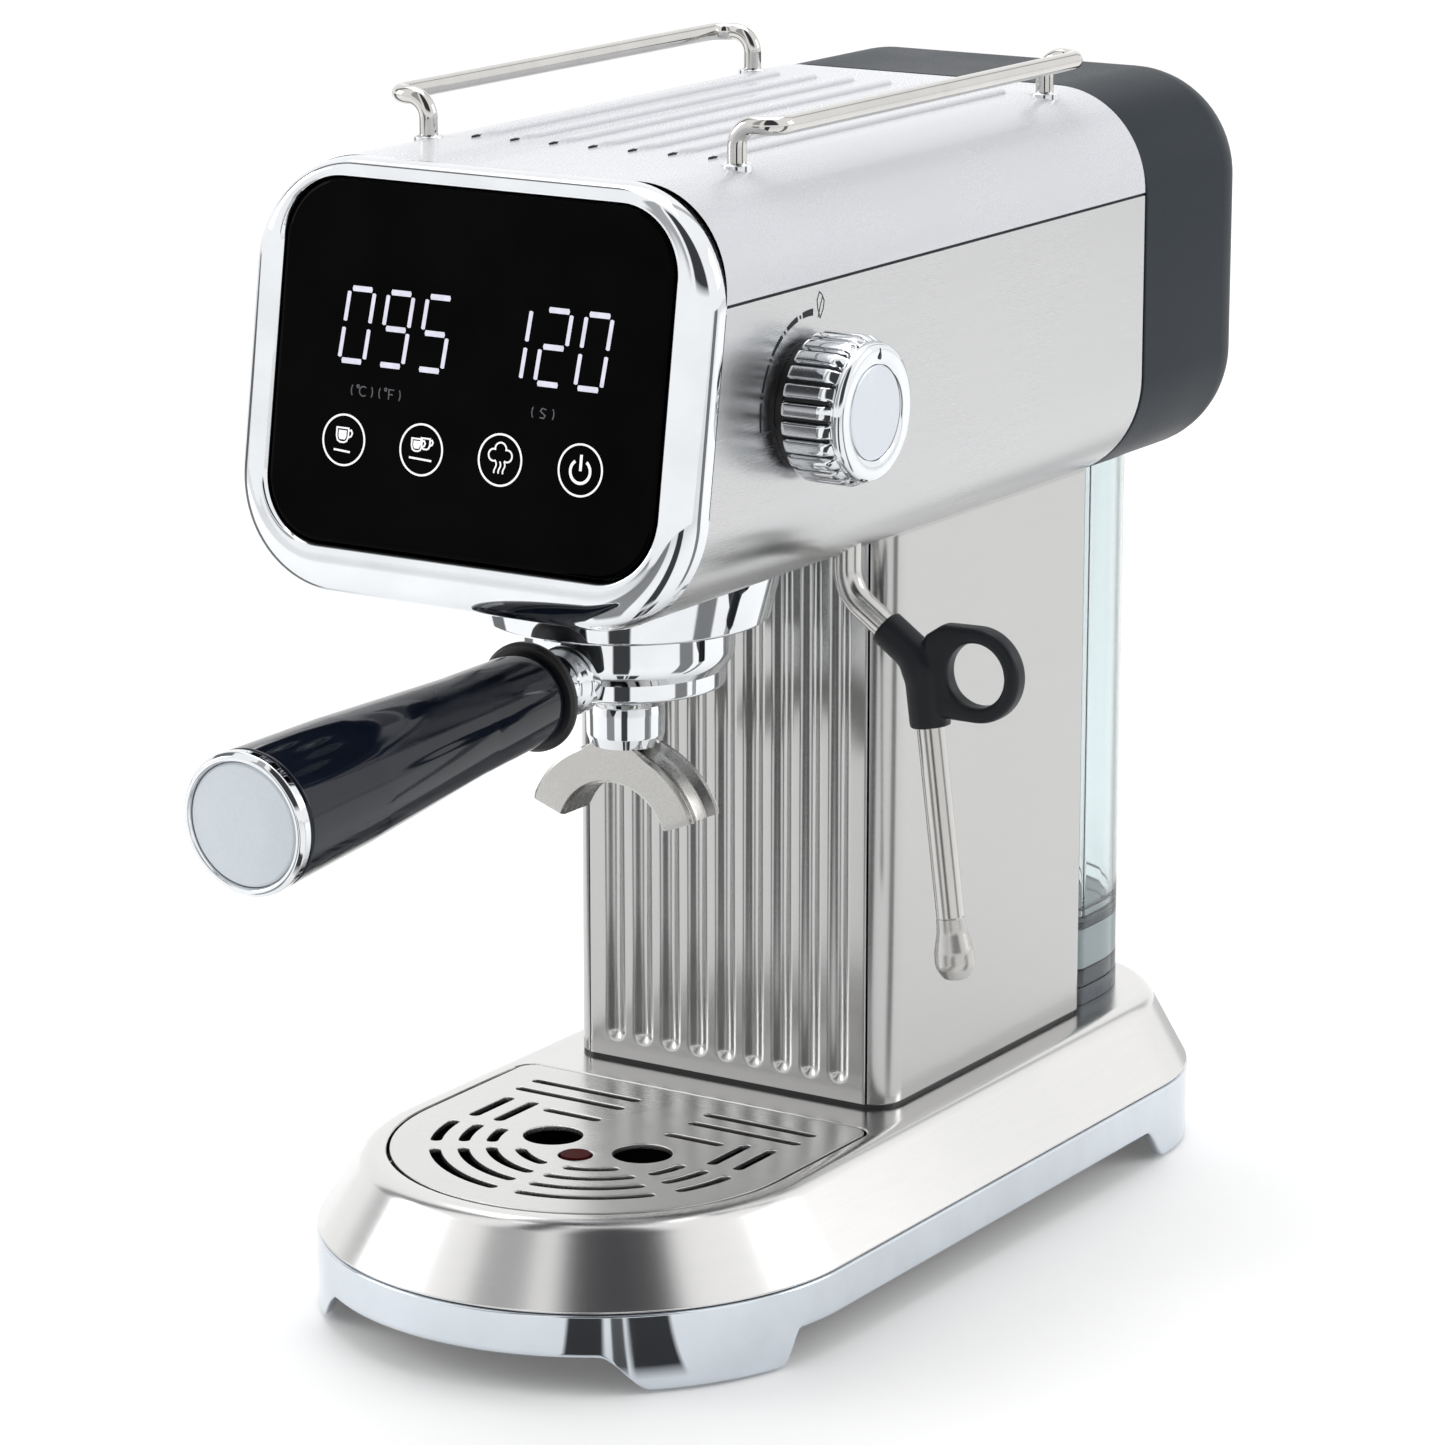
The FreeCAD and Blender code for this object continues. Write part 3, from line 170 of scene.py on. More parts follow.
# %% [markdown]
# ## Metals
# Three kinds of metal make most of the machine. Sheet steel is brushed: thousands of fine scratches
# run one way, so the noise is stretched a hundred times along them. Chrome is a mirror, and what makes
# it real is that the mirror isn't perfect: a slow wobble, and faint smears in the roughness. Cast parts
# are blasted to an even satin.

# %% Brushed, mirror and satin metal
def brushed(name, dark, light, along, rough=0.27):
    """Brushed steel; along holds the streaks per metre on each axis, few along the brushing."""
    steel = Finish(name, Metallic=1.0)
    hair = steel.noise(along, detail=2.0, rough=0.7)
    streak = steel.noise([n * 0.22 for n in along], detail=2.0)
    cloud = steel.noise((9, 9, 9), detail=2.0)
    tone = steel.spread(hair * 0.35 + streak * 0.2 + cloud * 0.45, 0.30, 0.70)
    return steel.set(Base_Color=steel.mix(tone, dark, light),
                     Roughness=steel.spread(hair * 0.25 + cloud * 0.75, 0.3, 0.7, rough - 0.02, rough + 0.03),
                     Normal=steel.bump(hair, 0.0004, 0.06))


def mirror(name, tint, rough=0.05):
    """Chrome plate, with a slow wobble in the plate and faint smears."""
    chrome = Finish(name, Metallic=1.0)
    smear = chrome.noise((45, 70, 60), detail=4.0)
    wobble = chrome.noise((38, 38, 38), detail=1.0)
    shade = tuple(v * 0.93 for v in tint)
    return chrome.set(Base_Color=chrome.mix(chrome.spread(smear, 0.35, 0.65), tint, shade),
                      Roughness=chrome.spread(smear, 0.4, 0.75, rough * 0.7, rough * 1.7),
                      Normal=chrome.bump(wobble, 0.015, 0.25))


def satin(name, dark, light, rough=0.3, grain=900):
    """Bead-blasted or cast metal with an even fine grain."""
    metal = Finish(name, Metallic=1.0)
    fine, slow = metal.noise((grain,) * 3, detail=2.0), metal.noise((20, 20, 20))
    return metal.set(Base_Color=metal.mix(metal.spread(fine * 0.3 + slow * 0.7, 0.34, 0.66), dark, light),
                     Roughness=metal.spread(fine * 0.4 + slow * 0.6, 0.3, 0.7, rough - 0.03, rough + 0.04),
                     Normal=metal.bump(fine, 0.004, 0.2))


FINISH = {
    "shell": brushed("brushed_steel_shell", (0.50, 0.505, 0.51), (0.54, 0.54, 0.545), (30, 30, 2200), 0.26),
    "column": brushed("brushed_steel_column", (0.46, 0.46, 0.455), (0.485, 0.485, 0.48), (30, 30, 1600), 0.2),
    "cover": brushed("brushed_steel_cover", (0.66, 0.66, 0.655), (0.71, 0.70, 0.695), (60, 60, 2600), 0.2),
    "grid": brushed("brushed_steel_grid", (0.62, 0.62, 0.61), (0.67, 0.665, 0.66), (35, 2600, 600), 0.27),
    "chrome": mirror("bright_chrome", (0.76, 0.78, 0.80), 0.04),
    "skirt": mirror("pale_chrome", (0.68, 0.73, 0.78), 0.06),
    "cast": satin("satin_cast_chrome", (0.44, 0.435, 0.42), (0.50, 0.495, 0.48), 0.27),
    "brushed": brushed("brushed_tube", (0.50, 0.495, 0.48), (0.56, 0.55, 0.535), (900, 900, 60), 0.2),
    "rod": mirror("polished_rod", (0.60, 0.59, 0.57), 0.07),
    "aluminium": satin("cast_aluminium", (0.42, 0.43, 0.44), (0.62, 0.63, 0.64), 0.42, 500),
    "brass": satin("turned_brass", (0.52, 0.36, 0.14), (0.70, 0.52, 0.24), 0.28, 700),
}
print(len(FINISH), "metals")

# %% [markdown]
# ## Spun discs
# The knob's face and the shower screen are turned on a lathe, so their scratches are circles. Rings of
# bump round the turning axis scatter light across them only, and that draws the two bright fans that
# every spun disc shows. A wave texture of rings makes them, with the disc's own middle as its centre.

# %% Spun metal
def spun(name, middle, tint, axis="X"):
    """Lathe-turned metal; middle is the turning centre in millimetres."""
    metal = Finish(name, Metallic=1.0)
    out = metal.node("ShaderNodeVectorMath", {"operation": "SUBTRACT"},
                     {0: metal.place(), 1: tuple(v * MM for v in middle)})
    rings = metal.node("ShaderNodeTexWave", {"wave_type": "RINGS", "rings_direction": axis},
                       {"Vector": out, "Scale": 950.0, "Distortion": 1.5, "Detail": 2.0, "Detail Scale": 3.0})
    slow = metal.noise((60, 60, 60))
    shade = tuple(v * 0.92 for v in tint)
    return metal.set(Base_Color=metal.mix(metal.spread(rings * 0.4 + slow * 0.6, 0.3, 0.7), shade, tint),
                     Roughness=metal.spread(slow, 0.3, 0.7, 0.2, 0.28),
                     Normal=metal.bump(rings, 0.03, 0.7))


FINISH["disc"] = spun("spun_disc", (90, -87.5, 250), (0.64, 0.67, 0.72))
FINISH["screen"] = spun("spun_screen", (0, -66, 195), (0.66, 0.66, 0.66), "Z")

# %% [markdown]
# ## Paint, plastic, rubber and glass
# The roof is a pale satin lacquer, the rear cap a dark slate plastic with a fine spark-eroded grain, and
# the handle a hard gloss lacquer. Each has its own grain and its own small unevenness in gloss, because
# an even gloss is what makes plastic look like a drawing of plastic.

# %% Plastics and lacquers
def moulded(name, dark, light, rough, grain, depth, gloss=0.5, coat=0.0):
    """A moulded or lacquered surface; grain is how many bumps there are in a metre."""
    skin = Finish(name, IOR=1.46, Specular_IOR_Level=gloss, Coat_Weight=coat, Coat_Roughness=0.03)
    pores, slow = skin.noise((grain,) * 3, detail=2.0), skin.noise((14, 14, 14))
    return skin.set(Base_Color=skin.mix(skin.spread(pores * 0.45 + slow * 0.55, 0.36, 0.64), dark, light),
                    Roughness=skin.spread(slow * 0.6 + pores * 0.4, 0.34, 0.66, rough * 0.85, rough * 1.2),
                    Normal=skin.bump(pores, depth, 0.4))


FINISH.update({
    "roof": moulded("pale_satin_lacquer", (0.57, 0.58, 0.61), (0.59, 0.60, 0.63), 0.26, 1500, 0.001, 0.5, 0.15),
    "cap": moulded("slate_plastic", (0.007, 0.013, 0.019), (0.011, 0.018, 0.026), 0.42, 1700, 0.01, 0.16),
    "gloss": moulded("gloss_black_lacquer", (0.003, 0.0045, 0.009), (0.006, 0.009, 0.017), 0.07, 120, 0.004,
                     0.36),
    "black": moulded("black_plastic", (0.006, 0.006, 0.007), (0.013, 0.013, 0.015), 0.42, 1400, 0.03),
    "rubber": moulded("soft_black_rubber", (0.004, 0.006, 0.009), (0.009, 0.011, 0.014), 0.42, 2200, 0.03, 0.3),
    "red": moulded("red_plastic", (0.045, 0.003, 0.003), (0.07, 0.004, 0.004), 0.5, 900, 0.01, 0.05),
    "pale": moulded("pale_disc", (0.54, 0.59, 0.63), (0.58, 0.63, 0.67), 0.3, 1200, 0.008, 0.5, 0.3),
    "board": moulded("green_board", (0.010, 0.06, 0.025), (0.02, 0.10, 0.045), 0.4, 800, 0.03),
    "face": moulded("black_touch_glass", (0.0, 0.0, 0.0), (0.0012, 0.0012, 0.0016), 0.05, 60, 0.0, 0.03),
    "ink": moulded("printed_ink", (0.012, 0.015, 0.020), (0.025, 0.028, 0.035), 0.5, 2500, 0.01, 0.2),
    "grey_foot": moulded("foot_rubber", (0.05, 0.052, 0.055), (0.08, 0.083, 0.086), 0.6, 1800, 0.05, 0.3),
    "seat": moulded("smoked_seat", (0.050, 0.062, 0.075), (0.075, 0.09, 0.105), 0.22, 900, 0.02, 0.4),
    "milky": moulded("milky_plastic", (0.50, 0.56, 0.58), (0.56, 0.62, 0.64), 0.3, 900, 0.01, 0.4),
})

# %% Clear plastic and lit marks
def clear(name, tint, rough=0.03):
    """See-through plastic, with flow lines from the mould in its surface."""
    tank = Finish(name, Transmission_Weight=1.0, IOR=1.38, Specular_IOR_Level=0.6)
    flow, slow = tank.noise((18, 18, 4)), tank.noise((6, 6, 6))
    shade = tuple(v * 0.97 for v in tint)
    return tank.set(Base_Color=tank.mix(tank.spread(slow, 0.3, 0.7), shade, tint),
                    Roughness=tank.spread(flow, 0.35, 0.7, rough, rough * 2.2),
                    Normal=tank.bump(flow, 0.05, 0.3))


def lit(name, colour, strength):
    """A lamp behind the glass; its brightness varies a little from end to end."""
    lamp = Finish(name, Base_Color=(0.0, 0.0, 0.0), Roughness=0.4, Emission_Strength=strength)
    uneven = lamp.noise((420, 420, 420), detail=1.0)
    return lamp.set(Emission_Color=lamp.mix(lamp.spread(uneven, 0.3, 0.7), colour,
                                            tuple(v * 0.86 for v in colour)))


FINISH.update({
    "tank": clear("clear_tank_plastic", (0.75, 0.81, 0.82)),
    "hose": clear("clear_hose", (0.80, 0.86, 0.86), 0.15),
    "digits": lit("lit_digits", (0.80, 0.80, 0.93), 1.0),
    "icons": lit("lit_icons", (0.97, 0.97, 1.0), 1.15),
    "dim": lit("dim_units", (0.085, 0.085, 0.10), 1.0),
})
print(len(FINISH), "finishes")

# %% [markdown]
# ## Lines and rings
# Nearly every part of this machine is a box with round corners, a turned part or a bent rod. So three
# helpers are enough: one rounds the corners of any line, one makes the closed outline of a rounded box,
# and a mesh builder joins rings of points with faces. Working in millimetres keeps the numbers readable.

# %% Rounded lines
def soften(corners, closed=False, steps=8):
    """A line through corners, each written (x, y, radius) or (x, y, z, radius), with its corners rounded."""
    line, count = [], len(corners)
    for i, corner in enumerate(corners):
        here, radius = Vector(corner[:-1]), corner[-1]
        if radius <= 0 or (not closed and i in (0, count - 1)):
            line.append(here)
            continue
        before = (Vector(corners[i - 1][:-1]) - here).normalized()
        after = (Vector(corners[(i + 1) % count][:-1]) - here).normalized()
        half = before.angle(after) / 2
        centre = here + (before + after).normalized() * (radius / math.sin(half))
        start = here + before * (radius / math.tan(half)) - centre
        end = here + after * (radius / math.tan(half)) - centre
        sweep = math.pi - 2 * half
        for k in range(steps + 1):
            t = k / steps
            line.append(centre + (start * math.sin((1 - t) * sweep) + end * math.sin(t * sweep)) / math.sin(sweep))
    return line


def rounded_box(half, low, high, low_radius, high_radius, steps=10):
    """The closed outline of a box with its own corner radius at each end."""
    a, b = max(low_radius, 0.02), max(high_radius, 0.02)
    return soften([(half, low, a), (half, high, b), (-half, high, b), (-half, low, a)], True, steps)


def lifted(outline, height):
    """A flat outline at a height."""
    return [Vector((p.x, p.y, height)) for p in outline]


# %% The mesh builder
class Shape:
    """Points in millimetres, and faces between them, made ring by ring."""

    def __init__(self):
        self.points, self.faces = [], []

    def ring(self, points):
        start = len(self.points)
        self.points += [Vector(p).to_3d() for p in points]
        return list(range(start, len(self.points)))

    def skin(self, rings, closed=True):
        """Four-sided faces from each ring to the next; gives back the rings' point numbers."""
        numbers = [self.ring(points) for points in rings]
        for low, high in zip(numbers, numbers[1:]):
            for i in range(len(low) - (not closed)):
                j = (i + 1) % len(low)
                self.faces.append((low[i], low[j], high[j], high[i]))
        return numbers

    def fill(self, *loops):
        """Fills the flat area inside the first loop and outside the others."""
        flat = [number for loop in loops for number in loop]
        for triangle in tessellate_polygon([[self.points[n] for n in loop] for loop in loops]):
            self.faces.append(tuple(flat[k] for k in triangle))

    def solid(self, rings):
        """A closed body from its rings, filled at both ends."""
        numbers = self.skin(rings)
        self.fill(numbers[0])
        self.fill(numbers[-1])
        return self

    def raised(self, height):
        self.points = [p + Vector((0, 0, height)) for p in self.points]
        return self

    def moved(self, place):
        self.points = [place @ p for p in self.points]
        return self

    def add(self, other):
        shift = len(self.points)
        self.points += other.points
        self.faces += [tuple(n + shift for n in face) for face in other.faces]
        return self


# %% [markdown]
# ## From a shape to a piece
# A piece is a mesh object with a finish that rides on one body of the CAD model. Smooth shading rounds
# every edge, so edges sharper than a limit are marked sharp, and the Weighted Normal modifier lets the
# large flat faces win at their borders. Without it, a flat sheet next to a rounded edge looks dented.

# %% Make a piece
def mesh_of(name, shape):
    """The shape as a mesh, in metres."""
    mesh = bpy.data.meshes.new(name)
    mesh.from_pydata([p * MM for p in shape.points], [], shape.faces)
    return mesh


def piece(name, shape, finish, body, *nodes, slot=None, sharp=32, thick=0.0):
    """Makes the object, in metres, hangs it on the body it rides on and hides the CAD nodes it stands for."""
    mesh = mesh_of(name, shape)
    work = bmesh.new()
    work.from_mesh(mesh)
    bmesh.ops.remove_doubles(work, verts=work.verts, dist=2e-6)
    bmesh.ops.dissolve_degenerate(work, edges=work.edges, dist=1e-7)
    bmesh.ops.recalc_face_normals(work, faces=work.faces)
    work.to_mesh(mesh)
    work.free()
    mesh.polygons.foreach_set("use_smooth", [True] * len(mesh.polygons))
    mesh.set_sharp_from_angle(angle=math.radians(sharp))
    mesh.materials.append(FINISH[finish])
    made = placed(name, mesh)
    if thick:
        wall = made.modifiers.new("thickness", "SOLIDIFY")
        wall.thickness, wall.offset = thick * MM, 1
    even = made.modifiers.new("even shading", "WEIGHTED_NORMAL")
    even.keep_sharp = True
    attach(made, body)
    if nodes:
        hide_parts(*nodes)
    print(f"{name}: {len(mesh.polygons)} faces")
    return made


# %% Turned parts and rods
def lathe(profile, place=None, steps=96):
    """Turns a line of (radius, height) points about the Z axis, then puts the result in its place."""
    rings = []
    for radius, height in profile:
        r = max(radius, 0)
        rings.append([Vector((r * math.cos(a), r * math.sin(a), height))
                      for a in (math.tau * k / steps for k in range(steps))])
    shape = Shape()
    shape.skin(rings)
    return shape.moved(place) if place else shape


def rod(path, radius, sides=28):
    """A round rod along a smooth path; radius is a number, or a function of the share of the path."""
    radius_at = radius if callable(radius) else lambda share: radius
    rings, frame_up = [], None
    for i, here in enumerate(path):
        ahead = (path[min(i + 1, len(path) - 1)] - path[max(i - 1, 0)]).normalized()
        if frame_up is None:
            frame_up = ahead.orthogonal()
        frame_up = (frame_up - ahead * frame_up.dot(ahead)).normalized()
        side, r = ahead.cross(frame_up), radius_at(i / (len(path) - 1))
        rings.append([here + (frame_up * math.cos(a) + side * math.sin(a)) * r
                      for a in (math.tau * k / sides for k in range(sides))])
    return Shape().solid(rings)


def ribbon(points, width, closed=False, end_width=None):
    """A flat ribbon of one width, or of a width that changes to end_width, along a flat line."""
    left, right, count = [], [], len(points)
    for i, here in enumerate(points):
        before = points[i - 1 if closed else max(i - 1, 0)]
        after = points[(i + 1) % count if closed else min(i + 1, count - 1)]
        one, two = (here - before), (after - here)
        one = one.normalized() if one.length else two.normalized()
        two = two.normalized() if two.length else one
        along = (one + two).normalized()
        across = Vector((-along.y, along.x)) / max(along.dot(two), 0.4)
        half = (width + ((end_width or width) - width) * i / (count - 1)) / 2
        left.append(here + across * half)
        right.append(here - across * half)
    shape = Shape()
    shape.skin([left + left[:1], right + right[:1]] if closed else [left, right], closed=False)
    return shape


def arc(middle, radius, start, end, steps=40):
    """Points on an arc, in degrees."""
    return [Vector((middle[0] + radius * math.cos(a), middle[1] + radius * math.sin(a)))
            for a in (math.radians(start + (end - start) * k / steps) for k in range(steps + 1))]


def offset(loop, distance):
    """A closed flat loop, moved outwards by distance."""
    area = sum(a.x * b.y - b.x * a.y for a, b in zip(loop, loop[1:] + loop[:1]))
    distance = distance if area > 0 else -distance
    moved = []
    for i, here in enumerate(loop):
        one, two = here - loop[i - 1], loop[(i + 1) % len(loop)] - here
        along = (one.normalized() + two.normalized()).normalized()
        moved.append(here + Vector((along.y, -along.x)) * distance)
    return moved


# %% [markdown]
# ## Chrome skirt
# The base stands on a chrome skirt whose lower edge is cut away between four short legs. Cutting windows
# out of a wall leaves hard corners, so instead the outline is walked in small steps and the height of
# the lower edge is worked out at each step. The legs then grow out of the skirt in one smooth line.

# %% Skirt
BASE_HALF, BASE_END, BASE_CORNER = 75, 155, 55
CUT_UP, LEG_UP = 10, 0.8


def base_outline(side=0.0, rear=None, steps=24):
    """The base seen from above, moved in by side at the front and sides and by rear at the rear."""
    rear = side if rear is None else rear
    return rounded_box(BASE_HALF - side, side - BASE_END, BASE_END - rear,
                       BASE_HALF - side, BASE_CORNER - (side + rear) / 2, steps)


def resampled(line, spacing, closed=True):
    """The line with points every spacing millimetres."""
    walked = []
    for here, there in zip(line, line[1:] + (line[:1] if closed else [])):
        parts = max(1, round((there - here).length / spacing))
        walked += [here.lerp(there, k / parts) for k in range(parts)]
    return walked if closed else walked + line[-1:]


def ease(t):
    t = min(max(t, 0.0), 1.0)
    return t * t * (3 - 2 * t)


def skirt_foot(point):
    """How low the skirt reaches here: CUT_UP between the legs, LEG_UP at a leg."""
    front = ease((abs(point.x) - 41) / 11) if point.y < -120 else 1.0
    side = ease(max((-96 - point.y) / 6, (point.y - 90) / 11))
    return CUT_UP - (CUT_UP - LEG_UP) * min(front, side)


walk = resampled(base_outline(steps=48), 1.6)
skirt = Shape()
levels = []
for inset, lift in ((3.4, 12), (3.4, 0.7), (2.9, 0.15), (1.1, 0.0), (0.35, 0.15), (0.05, 0.6), (0.0, 1.4)):
    levels.append([p.to_3d() + Vector((0, 0, skirt_foot(p) + lift)) for p in offset(walk, -inset)])
levels.append([Vector((p.x, p.y, 20.9)) for p in walk])
levels.append([Vector((p.x, p.y, 21.25)) for p in offset(walk, -0.12)])
levels.append([Vector((p.x, p.y, 21.45)) for p in offset(walk, -0.5)])
levels.append([Vector((p.x, p.y, 21.45)) for p in offset(walk, -3.4)])
skirt.skin(levels)
piece("skirt", skirt, "skirt", "machine", "plinth", slot="chrome", sharp=50)

# %% [markdown]
# ## Steel base cover
# The cover is drawn from one sheet: steep flanks lean in to a broad flat top, and the edge between them
# is well rounded. It is a stack of base outlines, each further in and higher. The flat top is filled
# between the last outline and the edge of the tray opening, whose lip is rolled down.

# %% Base cover
def tray_outline(extra=0.0, steps=20):
    return rounded_box(55.5 + extra, -135.5 - extra, -32 + extra, 55.5 + extra, 5 + extra, steps)


flank = soften([(0.9, 21.55, 0), (0.0, 22.2, 0.5), (13.2, 42.3, 6.5), (16.9, 42.3, 0)], steps=9)
cover = Shape()
outer = cover.skin([lifted(base_outline(p.x, p.x * 7 / 13, 32), p.y) for p in flank])
lip = cover.skin([lifted(tray_outline(e), z) for e, z in ((1.5, 42.3), (1.15, 42.22), (0.88, 41.95),
                                                          (0.8, 41.5), (0.8, 37))])
cover.fill(outer[-1], lip[0])
piece("base_cover", cover, "cover", "machine", "base_cover", slot="brushed")
print("cover's flat top is", round(2 * (BASE_HALF - flank[-1].x), 1), "mm wide")

# %% [markdown]
# ## Drip grid
# The grid is a plate with four kinds of opening: three round holes, straight slots behind them, short
# slots at the sides, and arcs that follow the round front. Each opening is a loop, and the top is filled between
# all of them. Every loop gets a small bevel, because the bright line on the edge of a slot is what tells
# the eye that the plate has a thickness.

# %% Grid openings
def slot_loop(start, end, half=1.5, steps=7):
    """A straight slot with round ends."""
    start, end = Vector(start), Vector(end)
    angle = math.degrees(math.atan2(*(end - start).yx))
    return arc(end, half, angle - 90, angle + 90, steps) + arc(start, half, angle + 90, angle + 270, steps)


def curved_slot(radius, start, end, half=1.5, steps=12):
    """A slot along an arc round the middle of the grid's round front."""
    middle = Vector((0, -80))
    tips = [middle + radius * Vector((math.cos(math.radians(a)),
                                      math.sin(math.radians(a)))) for a in (start, end)]
    return (arc(middle, radius + half, start, end, steps) + arc(tips[1], half, end, end + 180, 6)[1:-1]
            + arc(middle, radius - half, end, start, steps) + arc(tips[0], half, start + 180, start + 360,
                                                                  6)[1:-1])


holes = [arc((s * 14.2, -80.5), 8, 0, 360, 48)[:-1] for s in (1, -1)] + [arc((0, -91), 4.6, 0, 360, 36)[:-1]]
for near, end in ((-63.5, 27), (-52, 44), (-44, 44)):
    holes += [slot_loop((s * 12, near), (s * end, near)) for s in (1, -1)]
for x in (34, 42):
    holes += [slot_loop((s * x, -77), (s * x, -61)) for s in (1, -1)]
for radius, start, end in ((21, 278, 318), (28.5, 274, 323), (36, 274, 323), (43.5, 274, 323),
                           (28.5, 331, 355), (36, 331, 355), (43.5, 331, 355)):
    trim = math.degrees(1.5 / radius)
    holes += [curved_slot(radius, start + trim, end - trim), curved_slot(radius, 180 - end + trim,
                                                                         180 - start - trim)]

# %% Grid plate
grid = Shape()
rim = tray_outline(0, 20)
edges = []
for loop, outwards in [(rim, -1)] + [(hole, 1) for hole in holes]:
    rings = [lifted(offset(loop, outwards * d), z) for d, z in ((0.25, 40.75), (0.0, 40.95), (0.0, 41.95),
                                                                (0.1, 42.18), (0.32, 42.3))]
    edges.append(grid.skin(rings))
grid.fill(*[numbers[-1] for numbers in edges])
grid.fill(*[numbers[0] for numbers in edges])
piece("drip_grid", grid, "grid", "grid", "drip_grid", slot="steel")
print(len(holes), "openings in the grid")

# %% [markdown]
# ## Column
# The column is a sheet folded round three sides, and its front is a separate panel with nine pressed
# flutes. A thin black joint runs round its foot and beside the panel. The flutes are a height map: each
# is a shallow round channel, and below it ends in a half dome, as a press tool leaves it.

# %% Column sides
turn = [Vector((42 + 9 * math.cos(a), -8 + 9 * math.sin(a))) for a in (math.radians(-70.5 + 70.5 * k / 14) for k in range(15))]
wrap = [Vector((45, -12.4))] + turn + soften([(51, 80, 0), (51, 93.6, 4), (42, 93.6, 0)], steps=9)
wrap += [Vector((-p.x, p.y)) for p in reversed(wrap)]
column = Shape()
column.skin([lifted(wrap, z) for z in (43.3, 43.6, 80, 120, 160, 200, 202.5)], closed=False)
piece("column_sides", column, "column", "machine", "tower_shell", slot="brushed", thick=-1.2)

joint = Shape().solid([lifted(rounded_box(50.3, -16.4, 93, 7, 4), z) for z in (42.3, 43.8)])
joint.solid([lifted(rounded_box(48, -12.2, -9, 0.5, 0.5), z) for z in (42.3, 202)])
piece("column_joint", joint, "black", "machine", slot="black_plastic")

# %% Fluted panel
FLUTES = [9 * k for k in range(-4, 5)]
FLUTE_HALF, FLUTE_DEEP, FLUTE_FOOT = 3.6, 1.4, 51.2
PANEL_HALF, PANEL_FACE, PANEL_BACK = 44.5, -17, -12.3


def flute_depth(x, z):
    """How deep the panel is pressed in at this point."""
    nearest = min(FLUTES, key=lambda middle: abs(x - middle))
    reach = math.hypot(x - nearest, max(0.0, FLUTE_FOOT - z)) / FLUTE_HALF
    return FLUTE_DEEP / 2 * (1 + math.cos(math.pi * reach)) if reach < 1 else 0.0


bends = [FLUTE_HALF * math.sin(math.pi / 2 * k / 9) for k in range(-9, 10)]
across = sorted({round(middle + bend, 3) for middle in FLUTES for bend in bends}
                | {-44.4, -44.2, -43.6, -42.2, -40.4, 40.4, 42.2, 43.6, 44.2, 44.4})
upwards = [43.4, 43.9, 45.5, 47] + [47.6 + 0.3 * k for k in range(14)] + [52, 60, 90, 130, 170, 198.6]
panel = Shape()
rows = []
for z in upwards:
    row = [Vector((-PANEL_HALF, PANEL_BACK, z)), Vector((-PANEL_HALF, PANEL_FACE + 0.3, z))]
    row += [Vector((x, PANEL_FACE + flute_depth(x, z) + (0.12 if abs(x) > 44.3 else 0), z)) for x in across]
    rows.append(row + [Vector((PANEL_HALF, PANEL_FACE + 0.3, z)), Vector((PANEL_HALF, PANEL_BACK, z))])
rows.insert(0, [Vector((p.x, PANEL_BACK, 43.4)) for p in rows[0]])
panel.skin(rows, closed=False)
piece("fluted_panel", panel, "column", "machine", "tower_panel", slot="steel", sharp=40)

# %% [markdown]
# ## Head
# The head is a rounded tube, wider than the column, that runs from the cap at the rear to the tilted
# face. It comes in two sheets: a steel trough below and a lacquered roof above, with a hairline joint
# between them. Both are swept from front to rear, and the front edge of each follows the tilt of the face.

# %% Head trough
LEAN = math.tan(math.radians(9))
HEAD_HALF, HEAD_LOW, HEAD_HIGH, HEAD_CORNER = 69.3, 199, 308, 30
TROUGH_EDGE, ROOF_EDGE, ROOF_CORNER = 279.75, 280.45, 27.5
TO_THE_CAP = [(87.9, 0), (88.5, 0.15), (88.7, 0.7), (88.7, 2)]


def face_y(z):
    """Where the tilted plane behind the bezel is, at this height."""
    return -126.2 + (z - 280) * LEAN


def swept(section, stations):
    """Rings from a section drawn as (x, z); each station is (y or None for the face, inset)."""
    rings = []
    for y, inset in stations:
        middle = Vector((0, 253.5))
        ring = []
        for p in section:
            q = middle + (p - middle) * (1 - inset / 62)
            ring.append(Vector((q.x, face_y(q.y) if y is None else y, q.y)))
        rings.append(ring)
    return rings


trough_line = soften([(HEAD_HALF - 2, TROUGH_EDGE, 0), (HEAD_HALF, TROUGH_EDGE, 0.35),
                      (HEAD_HALF, HEAD_LOW, HEAD_CORNER), (-HEAD_HALF, HEAD_LOW, HEAD_CORNER),
                      (-HEAD_HALF, TROUGH_EDGE, 0.35), (2 - HEAD_HALF, TROUGH_EDGE, 0)], steps=22)
trough = Shape()
trough.skin(swept(trough_line, [(None, 0), (-110, 0), (-60, 0), (0, 0), (50, 0)] + TO_THE_CAP), closed=False)
piece("head_trough", trough, "shell", "machine", "head_shell", slot="brushed")

# %% [markdown]
# ## Roof
# Seven raised ribs on the roof let cups stand clear of it. Each starts in a pointed tip, and a small flat
# dark piece under each tip is painted shade round it. The roof is swept like the trough, but its flat
# part has enough points across for the ribs to be raised out of it, so that they cast real shadows.

# %% Roof
RIBS = [12 * k for k in range(-3, 4)]
RIB_START, RIB_END, RIB_HALF, RIB_HIGH = -80.5, 67.7, 2.2, 1.15


